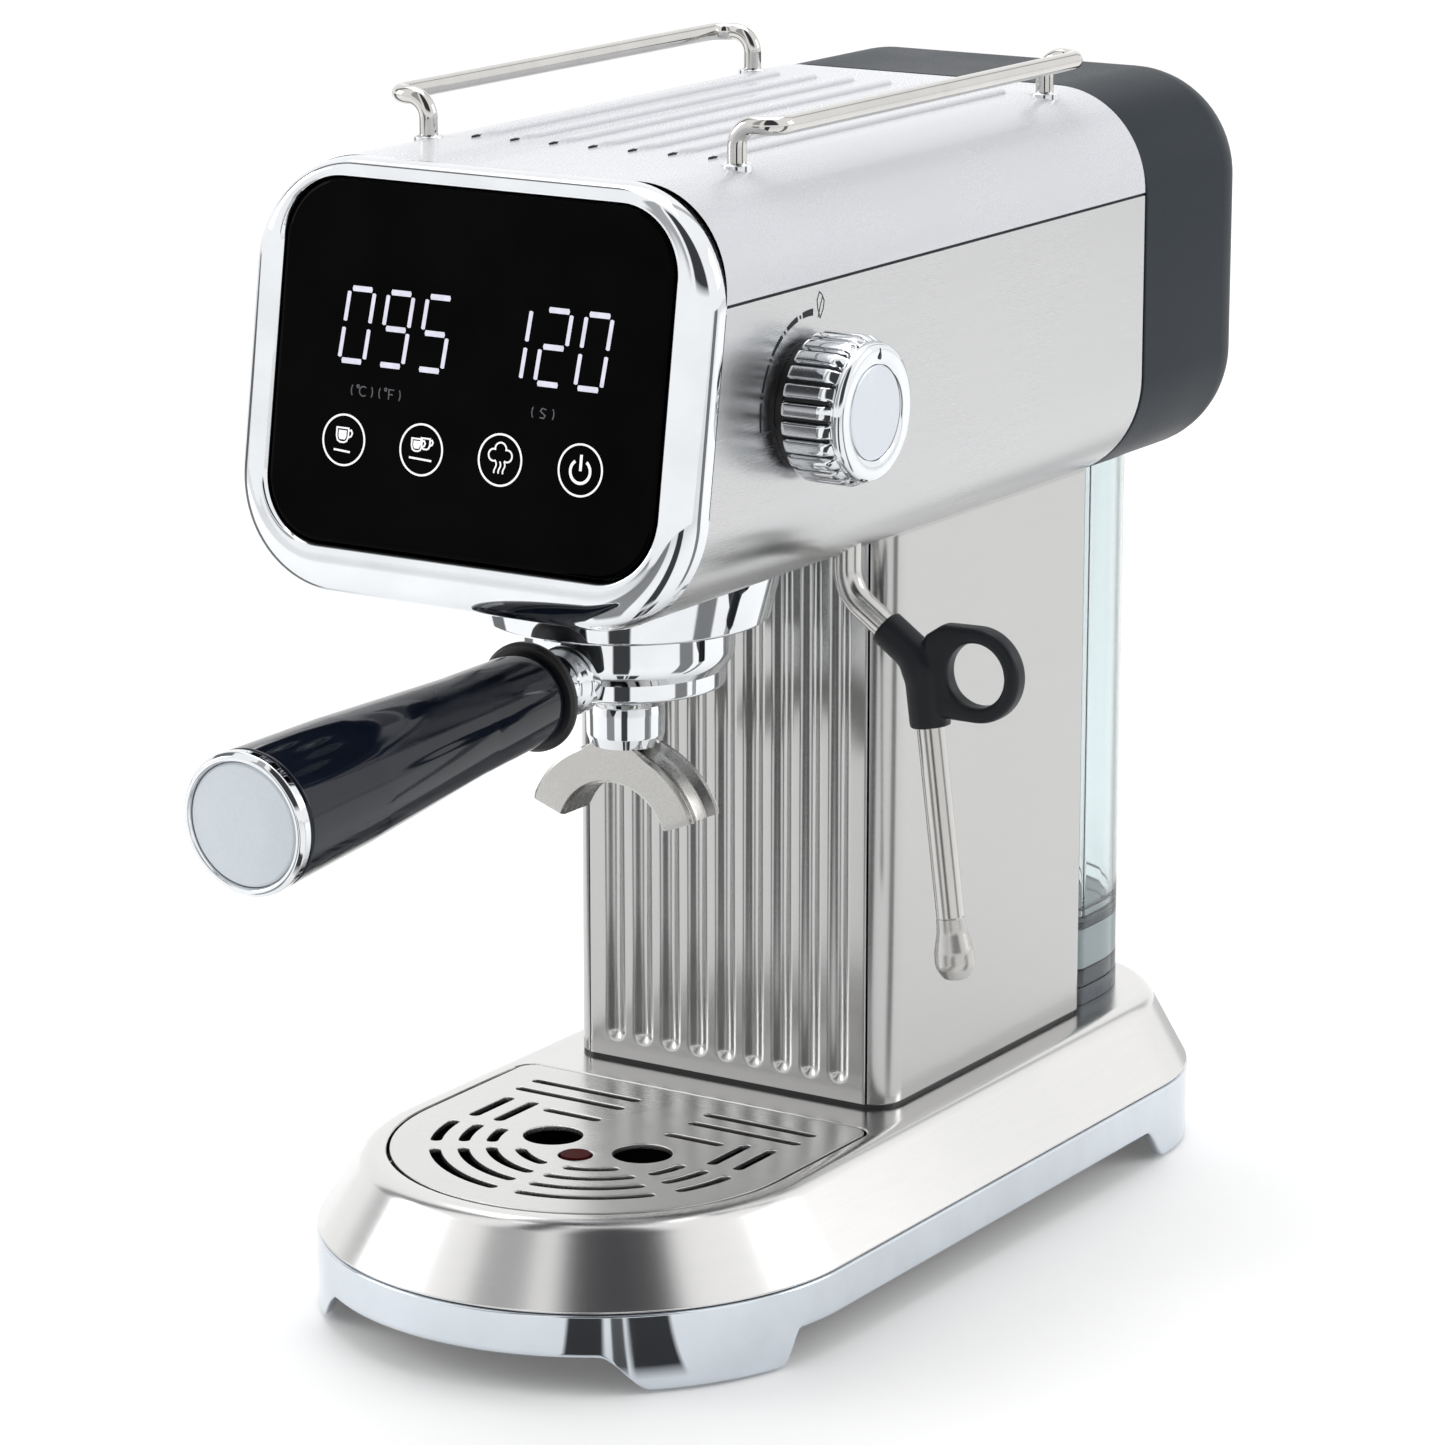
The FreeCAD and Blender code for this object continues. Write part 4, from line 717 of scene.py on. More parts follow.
def rib_height(x, y):
    """How far a rib stands up here."""
    nearest = min(RIBS, key=lambda middle: abs(x - middle))
    taper = min(max((y - RIB_START) / 9, 0.0), 1.0) ** 0.7 * min(max((RIB_END - y) / 3, 0.0), 1.0) ** 0.5
    reach = abs(x - nearest) / max(RIB_HALF * taper, 1e-3)
    return RIB_HIGH * min(taper * 1.6, 1.0) * (1 - reach * reach) ** 0.5 if reach < 1 else 0.0


shoulder = soften([(HEAD_HALF - 2, ROOF_EDGE, 0), (HEAD_HALF, ROOF_EDGE, 0.35),
                   (HEAD_HALF, HEAD_HIGH, ROOF_CORNER),
                   (HEAD_HALF - ROOF_CORNER, HEAD_HIGH, 0)], steps=22)[:-1]
bends = [RIB_HALF * math.sin(math.pi / 2 * k / 6) for k in range(-6, 7)]
flat = [Vector((x, HEAD_HIGH)) for x in sorted({round(middle + bend, 3) for middle in RIBS for bend in bends}
                                               | {-40.5, 40.5}, reverse=True)]
roof_line = shoulder + flat + [Vector((-p.x, p.y)) for p in reversed(shoulder)]
stations = [(None, 0), (-118, 0), (-100, 0), (-84, 0)] + [(RIB_START + 0.6 * k, 0) for k in range(16)]
stations += [(-60, 0), (-20, 0), (20, 0), (60, 0)] + [(RIB_END - 3.2 + 0.4 * k, 0) for k in range(9)]
stations += [(75, 0)] + TO_THE_CAP
rings = swept(roof_line, stations)
for ring in rings:
    for p in ring:
        if p.z > HEAD_HIGH - 0.01:
            p.z += rib_height(p.x, p.y)
roof = Shape()
roof.skin(rings, closed=False)
piece("roof", roof, "roof", "machine", "roof_cover", slot="white_paint", sharp=50)

# Painted shade: a flat dark piece under each rib tip stands for the shade round it.
tip_shade = Shape()
for x in RIBS:
    tip = [Vector((x + wide, RIB_START + along))
           for wide, along in ((0, -1.6), (0.35, 0.0), (0.62, 1.4), (0.6, 2.6), (0.3, 3.6))]
    tip += [Vector((2 * x - p.x, p.y)) for p in reversed(tip[1:])]
    tip_shade.solid([lifted(tip, 307.7), lifted(tip, 308.5)])
piece("rib_vents", tip_shade, "ink", "machine", slot="black_plastic")

seam = Shape()
for s in (1, -1):
    seam.solid([[Vector((s * x, y, z)) for x, z in ((68.6, 279.4), (68.6, 280.8), (66, 280.8), (66, 279.4))]
                for y in (-124, 88)])
piece("head_seam", seam, "ink", "machine", slot="black_plastic")

# %% [markdown]
# ## Cup rails
# Each rail is one polished rod. It rises out of a small ring, turns outwards just above the roof, and
# then runs back along the edge. A rod swept along a softened line gives bends with an even radius.

# %% Rails and their rings
RAIL_FOOT, RAIL_OUT, RAIL_TOP = 46.8, 58, 318.2
for name, s in (("left", -1), ("right", 1)):
    front, rear = -85.8, 71.2
    path = soften([(s * RAIL_FOOT, front, 304, 0), (s * RAIL_FOOT, front, RAIL_TOP, 5.5),
                   (s * RAIL_OUT, front, RAIL_TOP, 5.4), (s * RAIL_OUT, rear, RAIL_TOP, 5.4),
                   (s * RAIL_FOOT, rear, RAIL_TOP, 5.5), (s * RAIL_FOOT, rear, 304, 0)], steps=12)
    piece(f"rail_{name}", rod(path, 2.45), "rod", "machine", f"rail_{name}", slot="chrome", sharp=60)
    for end, y in (("front", front), ("rear", rear)):
        profile = soften([(2.4, 304.5, 0), (4.0, 304.5, 0), (4.0, 308.15, 0.3), (3.1, 308.6, 0.5),
                          (2.5, 308.5, 0)], steps=4)
        piece(f"rail_ring_{end}_{name}", lathe(profile, Matrix.Translation((s * RAIL_FOOT, y, 0)), 40),
              "chrome", "machine",
              f"ferrule_{end}_{name}", slot="chrome")

# %% [markdown]
# ## Chrome bezel
# The face is framed by a deep chrome ring: a flank that curves up from the outside, a small round crest,
# and an inner side that drops to the glass. Its section is drawn once as (distance inwards, height), and at each point
# of the section a whole outline is made, part of the way from the outer outline to the glass.

# %% Bezel
FACE = Matrix.Translation((0, -130.4, 253.5)) @ Matrix.Rotation(math.radians(81), 4, "X")


def face_outline(inwards, steps=22):
    """The face's outline this far in from its outer edge: 0 is the outside, 1 is the glass."""
    def part(outer, glass):
        return outer + (glass - outer) * inwards
    corner = part(HEAD_CORNER, 16.4)
    return rounded_box(part(HEAD_HALF, 58.4), part(-55.2, -45.6 + 3.5), part(55.2, 45.6 + 3.5), corner, corner,
                       steps)


flank = [(7.4 * (1 - math.cos(t)), 1.4 + 6.5 * math.sin(t),
          0) for t in (math.radians(6 * k) for k in range(16))]
section = soften([(0.0, -0.3, 0)] + flank + [(8.4, 8.0, 0.3), (9.6, 7.9, 1.0), (10.5, 6.4, 0.5),
                                             (10.75, 3.2, 0)], steps=7)
bezel = Shape()
bezel.skin([lifted(face_outline(p.x / 10.9), p.y) for p in section])
piece("bezel", bezel.moved(FACE), "chrome", "machine", "bezel", slot="chrome", sharp=50)
gasket = Shape().solid([lifted(face_outline(0.02), z) for z in (-0.35, -0.05)])
piece("bezel_joint", gasket.moved(FACE), "black", "machine", slot="black_plastic")

# %% Touch glass
glass = Shape()
glass_line = soften([(0.0, 4.0, 0), (0.0, 6.75, 0.35), (0.9, 7.0, 0.4), (2.4, 7.0, 0)], steps=4)
levels = glass.skin([lifted(rounded_box(58 - p.x, -42.0 + p.x, 49.0 - p.x, 16 - p.x, 16 - p.x, 22), p.y)
                     for p in glass_line])
glass.fill(levels[-1])
glass.fill(levels[0])
piece("touch_glass", glass.moved(FACE), "face", "machine", "touch_glass", slot="black_glass")

# %% [markdown]
# ## Lit digits and keys
# The two readouts are seven-segment digits that lean a little. A segment is a thin bar with pointed
# ends, and a digit is a list of the segments that are lit. The keys are rings with a small picture in
# them, drawn with ribbons. They are real flat pieces just above the glass, so they stay sharp.

# %% Seven-segment digits
SEGMENTS = {"a": ((0, 2), (1, 2)), "b": ((1, 2), (1, 1)), "c": ((1, 1), (1, 0)), "d": ((0, 0), (1, 0)),
            "e": ((0, 0), (0, 1)), "f": ((0, 1), (0, 2)), "g": ((0, 1), (1, 1))}
LIT = {"0": "abcdef", "1": "bc", "2": "abged", "5": "afgcd", "9": "abcdfg"}
WIDE, TALL, MARKS_UP = 7.6, 9.1, 7.06


def digit(character, x, y):
    """One digit with its lower left corner at (x, y)."""
    shape = Shape()
    for letter in LIT[character]:
        one, two = (Vector((x + u * WIDE + v * TALL * 0.10, y + v * TALL)) for u, v in SEGMENTS[letter])
        along = (two - one).normalized()
        across = Vector((-along.y, along.x)) * (0.78 if letter in "adg" else 0.62)
        one, two = one + along * 0.95, two - along * 0.95
        tip = along * 0.55
        loop = [one - tip * 0.4, one + across * 0.9, two + across * 0.9, two + tip * 0.4, two - across * 0.9,
                one - across * 0.9]
        shape.fill(shape.ring(loop))
    return shape


digits = Shape()
for text, start in (("095", -39.0), ("120", 8.4)):
    for k, character in enumerate(text):
        digits.add(digit(character, start + 11.9 * k, 3.9))
piece("lit_digits", digits.raised(MARKS_UP).moved(FACE), "digits", "machine", slot="black_glass", thick=0.05)

# %% Key pictures
def strokes(*lines, width=0.5, closed=False):
    shape = Shape()
    for line in lines:
        shape.add(ribbon([Vector(p) for p in line], width, closed))
    return shape


def cup(x, y, scale=1.0, filled=True):
    """A cup seen from the side, with its handle, on a short line."""
    body = [Vector((x + scale * u, y + scale * v)) for u, v in
            ((-2.0, 1.9), (-2.0, -0.2), (-1.6, -1.3), (-0.8, -1.7), (0.4, -1.7), (1.2, -1.3), (1.6, -0.2),
             (1.6, 1.9))]
    shape = Shape().add(ribbon(body, 0.42, True))
    shape.add(ribbon([Vector((x + scale * u, y + scale * v)) for u, v in ((1.6, 1.3), (2.4, 1.5), (2.8, 0.8),
                                                                          (2.5, 0.0), (1.5, -0.5))], 0.42))
    if filled:
        inner = [Vector((x + scale * u, y + scale * v)) for u, v in ((-1.4, 1.3), (-1.4, -0.2), (-1.0, -1.0),
                                                                     (0.6, -1.0), (1.0, -0.2), (1.0, 1.3))]
        shape.fill(shape.ring(inner))
    return shape


icons = Shape()
for x in (-35.7, -11.9, 11.9, 35.7):
    icons.add(ribbon(arc((x, -16), 6.35, 0, 360, 64)[:-1], 0.5, True))
icons.add(cup(-36.0, -14.9)).add(strokes([(-38.6, -18.6), (-33.6, -18.9)], width=0.5))
icons.add(cup(-13.2, -15.0, 0.85)).add(cup(-10.6, -14.5, 0.75,
                                           False)).add(strokes([(-15.4, -18.2), (-8.6, -18.5)], width=0.5))
cloud = arc((9.9, -14.9), 1.5, 300, 75, 14) + arc((11.9, -13.4), 1.7, 165, 15,
                                                  14) + arc((13.9, -14.9), 1.5, 105, -120, 14)
icons.add(ribbon(cloud, 0.42))
for x in (10.6, 11.9, 13.2):
    icons.add(ribbon([Vector((x + 0.28 * math.sin(t * 5.5),
                              -16.4 - 3.0 * t)) for t in [k / 12 for k in range(13)]], 0.4))
icons.add(ribbon(arc((35.7, -16.3), 2.9, 125, 415, 40),
                 0.75)).add(strokes([(35.7, -12.2), (35.7, -16.2)], width=0.75))
piece("lit_icons", icons.raised(MARKS_UP).moved(FACE), "icons", "machine", slot="black_glass", thick=0.05)

# %% Dim units under the digits
def bracketed(x, y, *lines):
    """Small brackets round a unit."""
    shape = Shape()
    shape.add(ribbon(arc((x + 1.6, y), 2.6, 150, 210, 8),
                     0.32)).add(ribbon(arc((x + 2.9, y), 2.6, 30, -30, 8), 0.32))
    for line in lines:
        shape.add(ribbon([Vector((x + p[0], y + p[1])) for p in line], 0.32))
    return shape


ring_mark = [tuple(p) for p in arc((1.0, 1.1), 0.35, 0, 350, 10)]
letter_c = [tuple(p) for p in arc((2.7, 0), 1.2, 50, 310, 14)]
units = bracketed(-33.5, -3.3, ring_mark, letter_c)
units.add(bracketed(-25.0, -3.3, ring_mark, [(2.0, -1.3), (2.0, 1.2), (3.6, 1.2)], [(2.0, 0.0), (3.2, 0.0)]))
units.add(bracketed(21.2, -3.3, [(3.2, 1.0), (2.0, 1.2), (1.5, 0.5), (2.2, 0.0), (3.0, -0.5), (2.6, -1.2),
                                 (1.4, -1.1)]))
piece("dim_units", units.raised(MARKS_UP).moved(FACE), "dim", "machine", slot="black_glass", thick=0.05)

# %% [markdown]
# ## Brewing group
# Under the head hangs a flared chrome shroud. The cup of the portafilter locks into the group inside it.
# All of these are turned parts, so a profile of radius and height makes each one, with every edge softened.

# %% Shroud and cup
GROUP = Matrix.Translation((0, -66, 0))
shroud = soften([(35.9, 199, 0), (35.9, 184.5, 0.4), (37.2, 184.0, 0.5), (38.2, 184.6, 0.8), (41.5, 199.5, 0),
                 (41.2, 203, 0)], steps=6)
piece("group_shroud", lathe(shroud, GROUP), "chrome", "machine", "group_shroud", slot="chrome", sharp=40)
cup_line = soften([(0, 166, 0), (26.4, 166, 1), (26.6, 189.4, 0), (27.4, 189.8, 0.2), (28.6, 189.8, 0.4),
                   (28.8, 186, 1), (28.8, 174.2, 7),
                   (23.6, 166.4, 9), (12.4, 162.6, 3), (10.8, 160.6, 0.8), (0, 160.6, 0)], steps=12)
piece("portafilter_cup", lathe(cup_line, GROUP), "chrome", "portafilter", "portafilter_cup", slot="chrome",
      sharp=40)
lugs = Shape()
for s in (1, -1):
    loop = [Vector((s * 27, -72)), Vector((s * 31.6, -71.6)), Vector((s * 33.2, -68)), Vector((s * 33.2, -64)),
            Vector((s * 31.6, -60.4)), Vector((s * 27, -60))]
    lugs.solid([lifted(offset(loop, -0.3), 187.4), lifted(loop, 187.7), lifted(loop, 189.5),
                lifted(offset(loop, -0.3), 189.8)])
piece("portafilter_lugs", lugs, "cast", "portafilter", slot="chrome")

# %% Spout nut and the twin spout
nut = soften([(0, 162.8, 0), (9.3, 162.8, 0), (9.1, 161.3, 0.8), (10.2, 160.5, 0.6), (10.4, 158.4, 1.5),
              (10.3, 152.2, 1.5),
              (9.3, 149.4, 0), (0, 149.4, 0)], steps=5)
piece("spout_nut", lathe(nut, GROUP, 64), "chrome", "portafilter", "spout_nut", slot="chrome", sharp=40)
across_spout = soften([(16.5, -6.1, 0.5), (16.5, 6.1, 0.5), (17.4, 7.0, 0.4), (26.0, 7.0, 0.5),
                       (27.0, 6.4, 0.3), (26.6, 5.4, 0.4), (24.4, 3.6, 2),
                       (23.4, 0.0, 3), (24.4, -3.6, 2), (26.6, -5.4,
                                                         0.4), (27.0, -6.4,
                                                                0.3), (26.0, -7.0,
                                                                       0.5), (17.4, -7.0, 0.4)], True, 3)
rings = []
for k in range(61):
    angle = math.radians(20 + 140 * k / 60)
    rise = ease((abs(k - 30) - 4) / 7)
    ring = []
    for p in across_spout:
        radius = p.x + (1 - rise) * max(0.0, p.x - 23) * (27.3 - p.x) * 0.4
        edge = min(1.0, 0.965 + 0.035 * ease(min(k, 60 - k) / 1.5))
        radius = 21.7 + (radius - 21.7) * edge
        ring.append(Vector((radius * math.cos(angle), p.y * edge, 123 + radius * math.sin(angle))))
    rings.append(ring)
piece("twin_spout", Shape().solid(rings).moved(GROUP), "cast", "portafilter", "twin_spout", slot="chrome",
      sharp=40)

# %% [markdown]
# ## Handle
# The handle droops about three degrees. It is a hard gloss lacquer over a turned core that swells from
# the collar to the end, where a chrome ring holds a pale disc. Everything on it is turned round one
# axis, so one matrix places all its parts.

# %% Neck, grip and end
HANDLE = Matrix.Translation((0, -109, 171)) @ Matrix.Rotation(math.radians(92.9), 4, "X")
neck = soften([(0, -17, 0), (9.6, -17, 0), (9.3, -13.4, 3), (7.3, -11.5, 3), (7.0, -4, 2), (8.6, -0.2, 1.0),
               (0, -0.2, 0)], steps=6)
piece("portafilter_neck", lathe(neck, HANDLE, 64), "chrome", "portafilter", "portafilter_neck", slot="chrome",
      sharp=40)
collar = soften([(0, -0.2, 0), (13.2, -0.2, 0.5), (14.5, 0.9, 0.8), (14.5, 2.2, 0.6), (13.6, 3.0, 0.4),
                 (0, 3.0, 0)], steps=4)
piece("portafilter_collar", lathe(collar, HANDLE, 72), "black", "portafilter", "portafilter_collar",
      slot="black_plastic")
grip = soften([(0, 3.0, 0), (11.6, 3.0, 0.5), (12.3, 4.4, 1.2), (13.4, 34, 60), (16.6, 84, 90),
               (17.9, 118.2, 1), (17.2, 119.0, 0.4), (0, 119, 0)], steps=14)
piece("portafilter_handle", lathe(grip, HANDLE), "gloss", "portafilter", "portafilter_handle",
      slot="gloss_black", sharp=40)
end_ring = soften([(15.4, 119.0, 0), (17.4, 119.0, 0.3), (18.0, 119.6, 0.4), (18.0, 121.8, 0.8),
                   (17.0, 123.0, 0.8), (16.0, 123.0, 0.35), (15.6, 122.2, 0.2),
                    (15.5, 119.0, 0)], steps=5)
piece("portafilter_end_ring", lathe(end_ring, HANDLE), "chrome", "portafilter", "portafilter_end_ring",
      slot="chrome", sharp=50)
end_disc = soften([(0, 119.4, 0), (15.45, 119.4, 0), (15.45, 122.0, 0.3), (14.8, 122.5, 0.6), (8, 122.95, 20),
                   (0, 123.05, 0)], steps=6)
piece("portafilter_end_disc", lathe(end_disc, HANDLE), "pale", "portafilter", "portafilter_end_disc",
      slot="pale_disc", sharp=40)

# %% [markdown]
# ## Steam knob
# The knob is cast with twenty-four flat lobes and plated, so every lobe is a small mirror; a black bar
# set in the groove beside it is painted shade. Its mesh is turned like the others, except that the radius
# also depends on the angle wherever the profile says how deep each groove is there.

# %% Knob body
KNOB_AT = Matrix.Translation((HEAD_HALF, -87.5, 250))
KNOB = KNOB_AT @ Matrix.Rotation(math.pi / 2, 4, "Y")
LOBES, PER_LOBE, GROOVE_DEEP, LOBE_FLAT = 24, 14, 1.75, 0.16
profile = [(0.0, 2.4, 0), (16.9, 2.4, 0), (18.3, 2.7, 1), (18.9, 3.3, 1), (19.0, 4.2, 1), (19.0, 13.2, 1),
           (18.9, 14.2, 1), (18.3, 15.6, 0.75), (17.7, 16.5, 0.35),
           (17.45, 16.9, 0.0), (17.5, 17.2, 0), (17.45, 18.1, 0), (17.1, 19.0,
                                                                   0), (16.4, 19.5,
                                                                        0), (15.4, 19.7, 0), (13.6, 19.5, 0), (12.5, 19.25, 0), (12.15, 19.0, 0),
           (12.1, 18.0, 0), (0.0, 18.0, 0)]
rings = []
for radius, height, groove in profile:
    ring = []
    for k in range(LOBES * PER_LOBE):
        share = (k % PER_LOBE) / PER_LOBE
        edge = min(share, 1 - share) * 2
        depth = GROOVE_DEEP * groove * (1 - ease((edge - 0.10) / 0.24))
        flatness = LOBE_FLAT * groove * (1 - math.cos((share - 0.5) * math.tau)) / 2
        r, a = max(radius - depth - flatness, 0), math.tau * (k + 0.5) / (LOBES * PER_LOBE)
        ring.append(Vector((r * math.cos(a), r * math.sin(a), height)))
    rings.append(ring)
knob = Shape()
knob.skin(rings)
piece("knob_body", knob.moved(KNOB), "chrome", "knob", "knob_body", slot="chrome", sharp=42)
# Painted shade: a black bar in each groove between the lobes stands for the shade there.
groove_shade = Shape()
for k in range(LOBES):
    a = math.tau * k / LOBES
    loop = [Vector((u, v)) for u, v in ((17.0, -0.42), (17.72, -0.42), (17.72, 0.42), (17.0, 0.42))]
    bar = Shape().solid([lifted(loop, 3.0), lifted(loop, 15.2)])
    groove_shade.add(bar.moved(Matrix.Rotation(a, 4, "Z")))
piece("knob_grooves", groove_shade.moved(KNOB), "black", "knob", slot="black_plastic")

# %% Knob face, pointer and ring
disc = soften([(0, 17.6, 0), (11.95, 17.6, 0), (11.95, 19.05, 0.25), (11.3, 19.15, 0.3), (0, 18.95, 0)],
              steps=4)
piece("knob_disc", lathe(disc, KNOB), "disc", "knob", "knob_disc", slot="chrome", sharp=40)
drop = [Vector((-14.6 + 1.15 * u, 0.62 * v)) for u, v in ((-1.3, 0), (-0.4, 0.45), (0.4, 0.9), (0.95, 0.75),
                                                          (1.2, 0), (0.95, -0.75), (0.4, -0.9), (-0.4, -0.45))]
pointer = Shape().solid([lifted(drop, 19.3), lifted(drop, 19.78)])
piece("knob_pointer", pointer.moved(KNOB @ Matrix.Rotation(math.radians(-4), 4, "Z")), "black", "knob",
      slot="black_plastic")
knob_ring = soften([(3.2, 0.0, 0), (16.5, 0.0, 0.2), (16.5, 1.9, 0.4), (3.2, 1.9, 0)], steps=4)
piece("knob_ring", lathe(knob_ring, KNOB, 72), "black", "machine", "knob_ring", slot="black_plastic")

# %% Printed steam scale
SIDE = KNOB_AT @ Matrix(((0, 0, 1, 0), (1, 0, 0, 0), (0, 1, 0, 0), (0, 0, 0, 1)))
scale_marks = Shape()
for start, end, wide, wider in ((188, 170, 0.75, 0.85), (163.5, 146, 0.85, 0.95), (139.5, 124, 0.95, 1.15),
                                (117.5, 104.5, 1.15, 1.45), (98.5, 86.5, 1.5, 1.8)):
    tips = arc((0, 0), 23.2, start, end, 14)
    scale_marks.add(ribbon(tips, wide, end_width=wider))
for angle in (166.7, 142.7, 120.7, 101.5):
    scale_marks.add(ribbon(arc((0, 0), 23.2, angle + 0.8, angle - 0.8, 3), 0.9))
flame = [Vector((4.6 + u, 21.6 + v)) for u, v in ((0.2, -0.4), (1.6, 1.6), (2.1, 3.6), (1.0, 5.4), (-0.2, 6.2),
                                                  (-1.3, 4.2), (-0.9, 2.0))]
scale_marks.add(ribbon(flame, 0.28, True)).add(ribbon([Vector((3.8, 21.4)), Vector((4.8, 24.2)),
                                                       Vector((6.0, 26.6))], 0.25))
piece("steam_scale", scale_marks.raised(0.02).moved(SIDE), "ink", "machine", slot="black_plastic", thick=0.04)

# %% [markdown]
# ## Steam wand
# The wand is a thin bent tube with a rubber guard over its elbow. The guard is a sleeve with a tab
# shaped like a D, and the tab has a hole to put a finger through. Sleeve and tab only touch at a hard
# crease, so they are merged by a voxel remesh and then smoothed, which gives the soft fillets of a
# rubber part that is moulded round the metal.

# %% Wand tube and tip
WAND_TOP, WAND_BEND = (53.7, -43, 219.5), (53.7, -43, 192.4)
ELBOW, WAND_END = (77, -43, 176), (85.6, -43, 109.5)
wand_path = soften([(*WAND_TOP, 0), (*WAND_BEND, 12), (*ELBOW, 12), (*WAND_END, 0)], steps=14)
piece("wand_tube", rod(resampled(wand_path, 3, closed=False), 3.7, 32), "brushed", "wand", "wand_tube",
      slot="steel", sharp=60)
DOWN = (Vector(WAND_END) - Vector(ELBOW)).normalized()
TIP = Matrix.Translation(WAND_END) @ Vector((0, 0, 1)).rotation_difference(DOWN).to_matrix().to_4x4()
tip_line = soften([(0, -0.4, 0), (3.55, -0.4, 0.2), (3.55, 0.25, 0.15), (3.78, 0.45, 0.2), (4.0, 4.0, 10),
                   (5.25, 9.5, 7), (5.3, 13.4, 4), (3.2, 16.9, 2.6),
                   (1.0, 17.0, 0.4), (0.8, 16.2, 0), (0, 16.2, 0)], steps=8)
piece("wand_tip", lathe(tip_line, TIP, 64), "cast", "wand", "wand_tip", slot="steel", sharp=50)

# %% Rubber guard
middle_of_run = (Vector(WAND_BEND) + Vector(ELBOW)) / 2
share = (Vector(ELBOW).z - 159.5) / (Vector(ELBOW).z - WAND_END[2])
sleeve_end = Vector(ELBOW).lerp(Vector(WAND_END), share)
sleeve_path = soften([(*middle_of_run, 0), (*ELBOW, 12), (*sleeve_end, 0)], steps=16)
guard = rod(sleeve_path, lambda t: 4.9 + 0.5 * ease((t - 0.15) / 0.5) + 0.25 * math.sin(math.pi * t), 32)
HOLE, TAB_REACH = 8.4, 12.6
ring_line = soften([(HOLE, -3.0, 1.3), (TAB_REACH, -3.0, 1.6), (TAB_REACH, 3.0, 1.6), (HOLE, 3.0, 1.3)], True,
                   6)
TAB = [Vector(p) for p in ((0, 12.6), (-10, 12.3), (-15.6, 8.5), (-14.6, -12.6), (0, -12.6))]


def tab_reach(way):
    """How far the finger tab reaches from the middle of its hole, this way."""
    if way.x >= 0:
        return TAB_REACH
    for here, there in zip(TAB, TAB[1:]):
        edge = there - here
        turn_by = way.x * edge.y - way.y * edge.x
        along = (here.x * way.y - here.y * way.x) / turn_by if abs(turn_by) > 1e-9 else -1
        if -1e-6 <= along <= 1 + 1e-6:
            return (here + edge * along).length
    return TAB_REACH


outline_rings = []
for p in ring_line + ring_line[:1]:
    ring = []
    for k in range(96):
        way = Vector((math.cos(math.tau * k / 96), math.sin(math.tau * k / 96)))
        far_out = HOLE + (p.x - HOLE) * (tab_reach(way) - HOLE) / (TAB_REACH - HOLE)
        ring.append(Vector((93.3 + way.x * far_out, -43 + p.y, 175 + way.y * far_out)))
    outline_rings.append(ring)
finger_tab = Shape()
finger_tab.skin(outline_rings)
guard.add(finger_tab)
rough_guard = placed("guard_parts", mesh_of("guard_parts", guard))
merge = rough_guard.modifiers.new("merge", "REMESH")
merge.mode, merge.voxel_size = "VOXEL", 0.45 * MM
relax = rough_guard.modifiers.new("relax", "SMOOTH")
relax.factor, relax.iterations = 0.5, 9
bpy.context.view_layer.update()
merged = bpy.data.meshes.new_from_object(rough_guard.evaluated_get(bpy.context.evaluated_depsgraph_get()))
bpy.data.objects.remove(rough_guard)
guard = Shape()
guard.points, guard.faces = [v.co / MM for v in merged.vertices], [tuple(f.vertices) for f in merged.polygons]
piece("wand_guard", guard, "rubber", "wand", "wand_grip", slot="rubber", sharp=70)

# %% [markdown]
# ## Water tank and cap
# The tank is clear plastic with two large round rear corners. Light has to pass through two real walls,
# so the tank has an outside and an inside. A smoked foot shows through it near the bottom, and two dark
# bands inside the wall are painted shade for the step and the floor seen through it.
# The slate cap over it continues the head's section and rounds off its rear edge.

# %% Tank
def tank_outline(inset=0.0, steps=14):
    return rounded_box(49 - inset, 94.6 + inset, 146 - inset, 4 - inset * 0.7, 38 - inset, steps)


tank = Shape()
wall = [(1.2, 47.4), (0.3, 47.7), (0.0, 48.6)] + [(0.0, z) for z in (75, 120, 170,
                                                                     213.2)] + [(0.3, 213.8), (1.0, 214), (1.7, 213.8), (2.0, 213.2)]
wall += [(2.0, z) for z in (170, 120, 75, 68.6)] + [(2.6, 67.6), (4.4, 67.0)]
levels = tank.skin([lifted(tank_outline(i), z) for i, z in wall])
tank.fill(levels[-1])
tank.fill(levels[0])
piece("water_tank", tank, "tank", "tank", "water_tank", slot="clear_tank", sharp=40)
inner_base = Shape().solid([lifted(tank_outline(i), z) for i, z in ((0.35, 53.2), (0.3, 53.4), (0.3, 64.6),
                                                                    (0.35, 64.8))])
piece("tank_base", inner_base, "milky", "tank", slot="clear_tank")
foot = Shape().solid([lifted(tank_outline(i), z) for i, z in ((0.5, 47.8), (0.3, 48.0), (0.3, 52.2),
                                                              (0.5, 52.5))])
piece("tank_foot", foot, "seat", "tank", slot="clear_tank")
# Painted shade: two dark bands just inside the wall stand for the step and the floor seen through the clear plastic.
for name, z, high in (("tank_step", 65.2, 1.5), ("tank_floor_line", 70.6, 0.5)):
    shade_band = Shape()
    shade_band.skin([lifted(tank_outline(i), h) for i, h in ((1.5, z), (0.3, z + 0.1), (0.3, z + high),
                                                       (1.5, z + high + 0.1), (1.5, z))])
    piece(name, shade_band, "seat", "tank", slot="clear_tank")
seat = Shape().solid([lifted(tank_outline(i), z) for i, z in ((0.2, 42.3), (0.0, 42.6), (0.0, 46.6),
                                                              (0.4, 47.3))])
piece("tank_seat", seat, "seat", "machine", "tank_seat", slot="black_plastic")

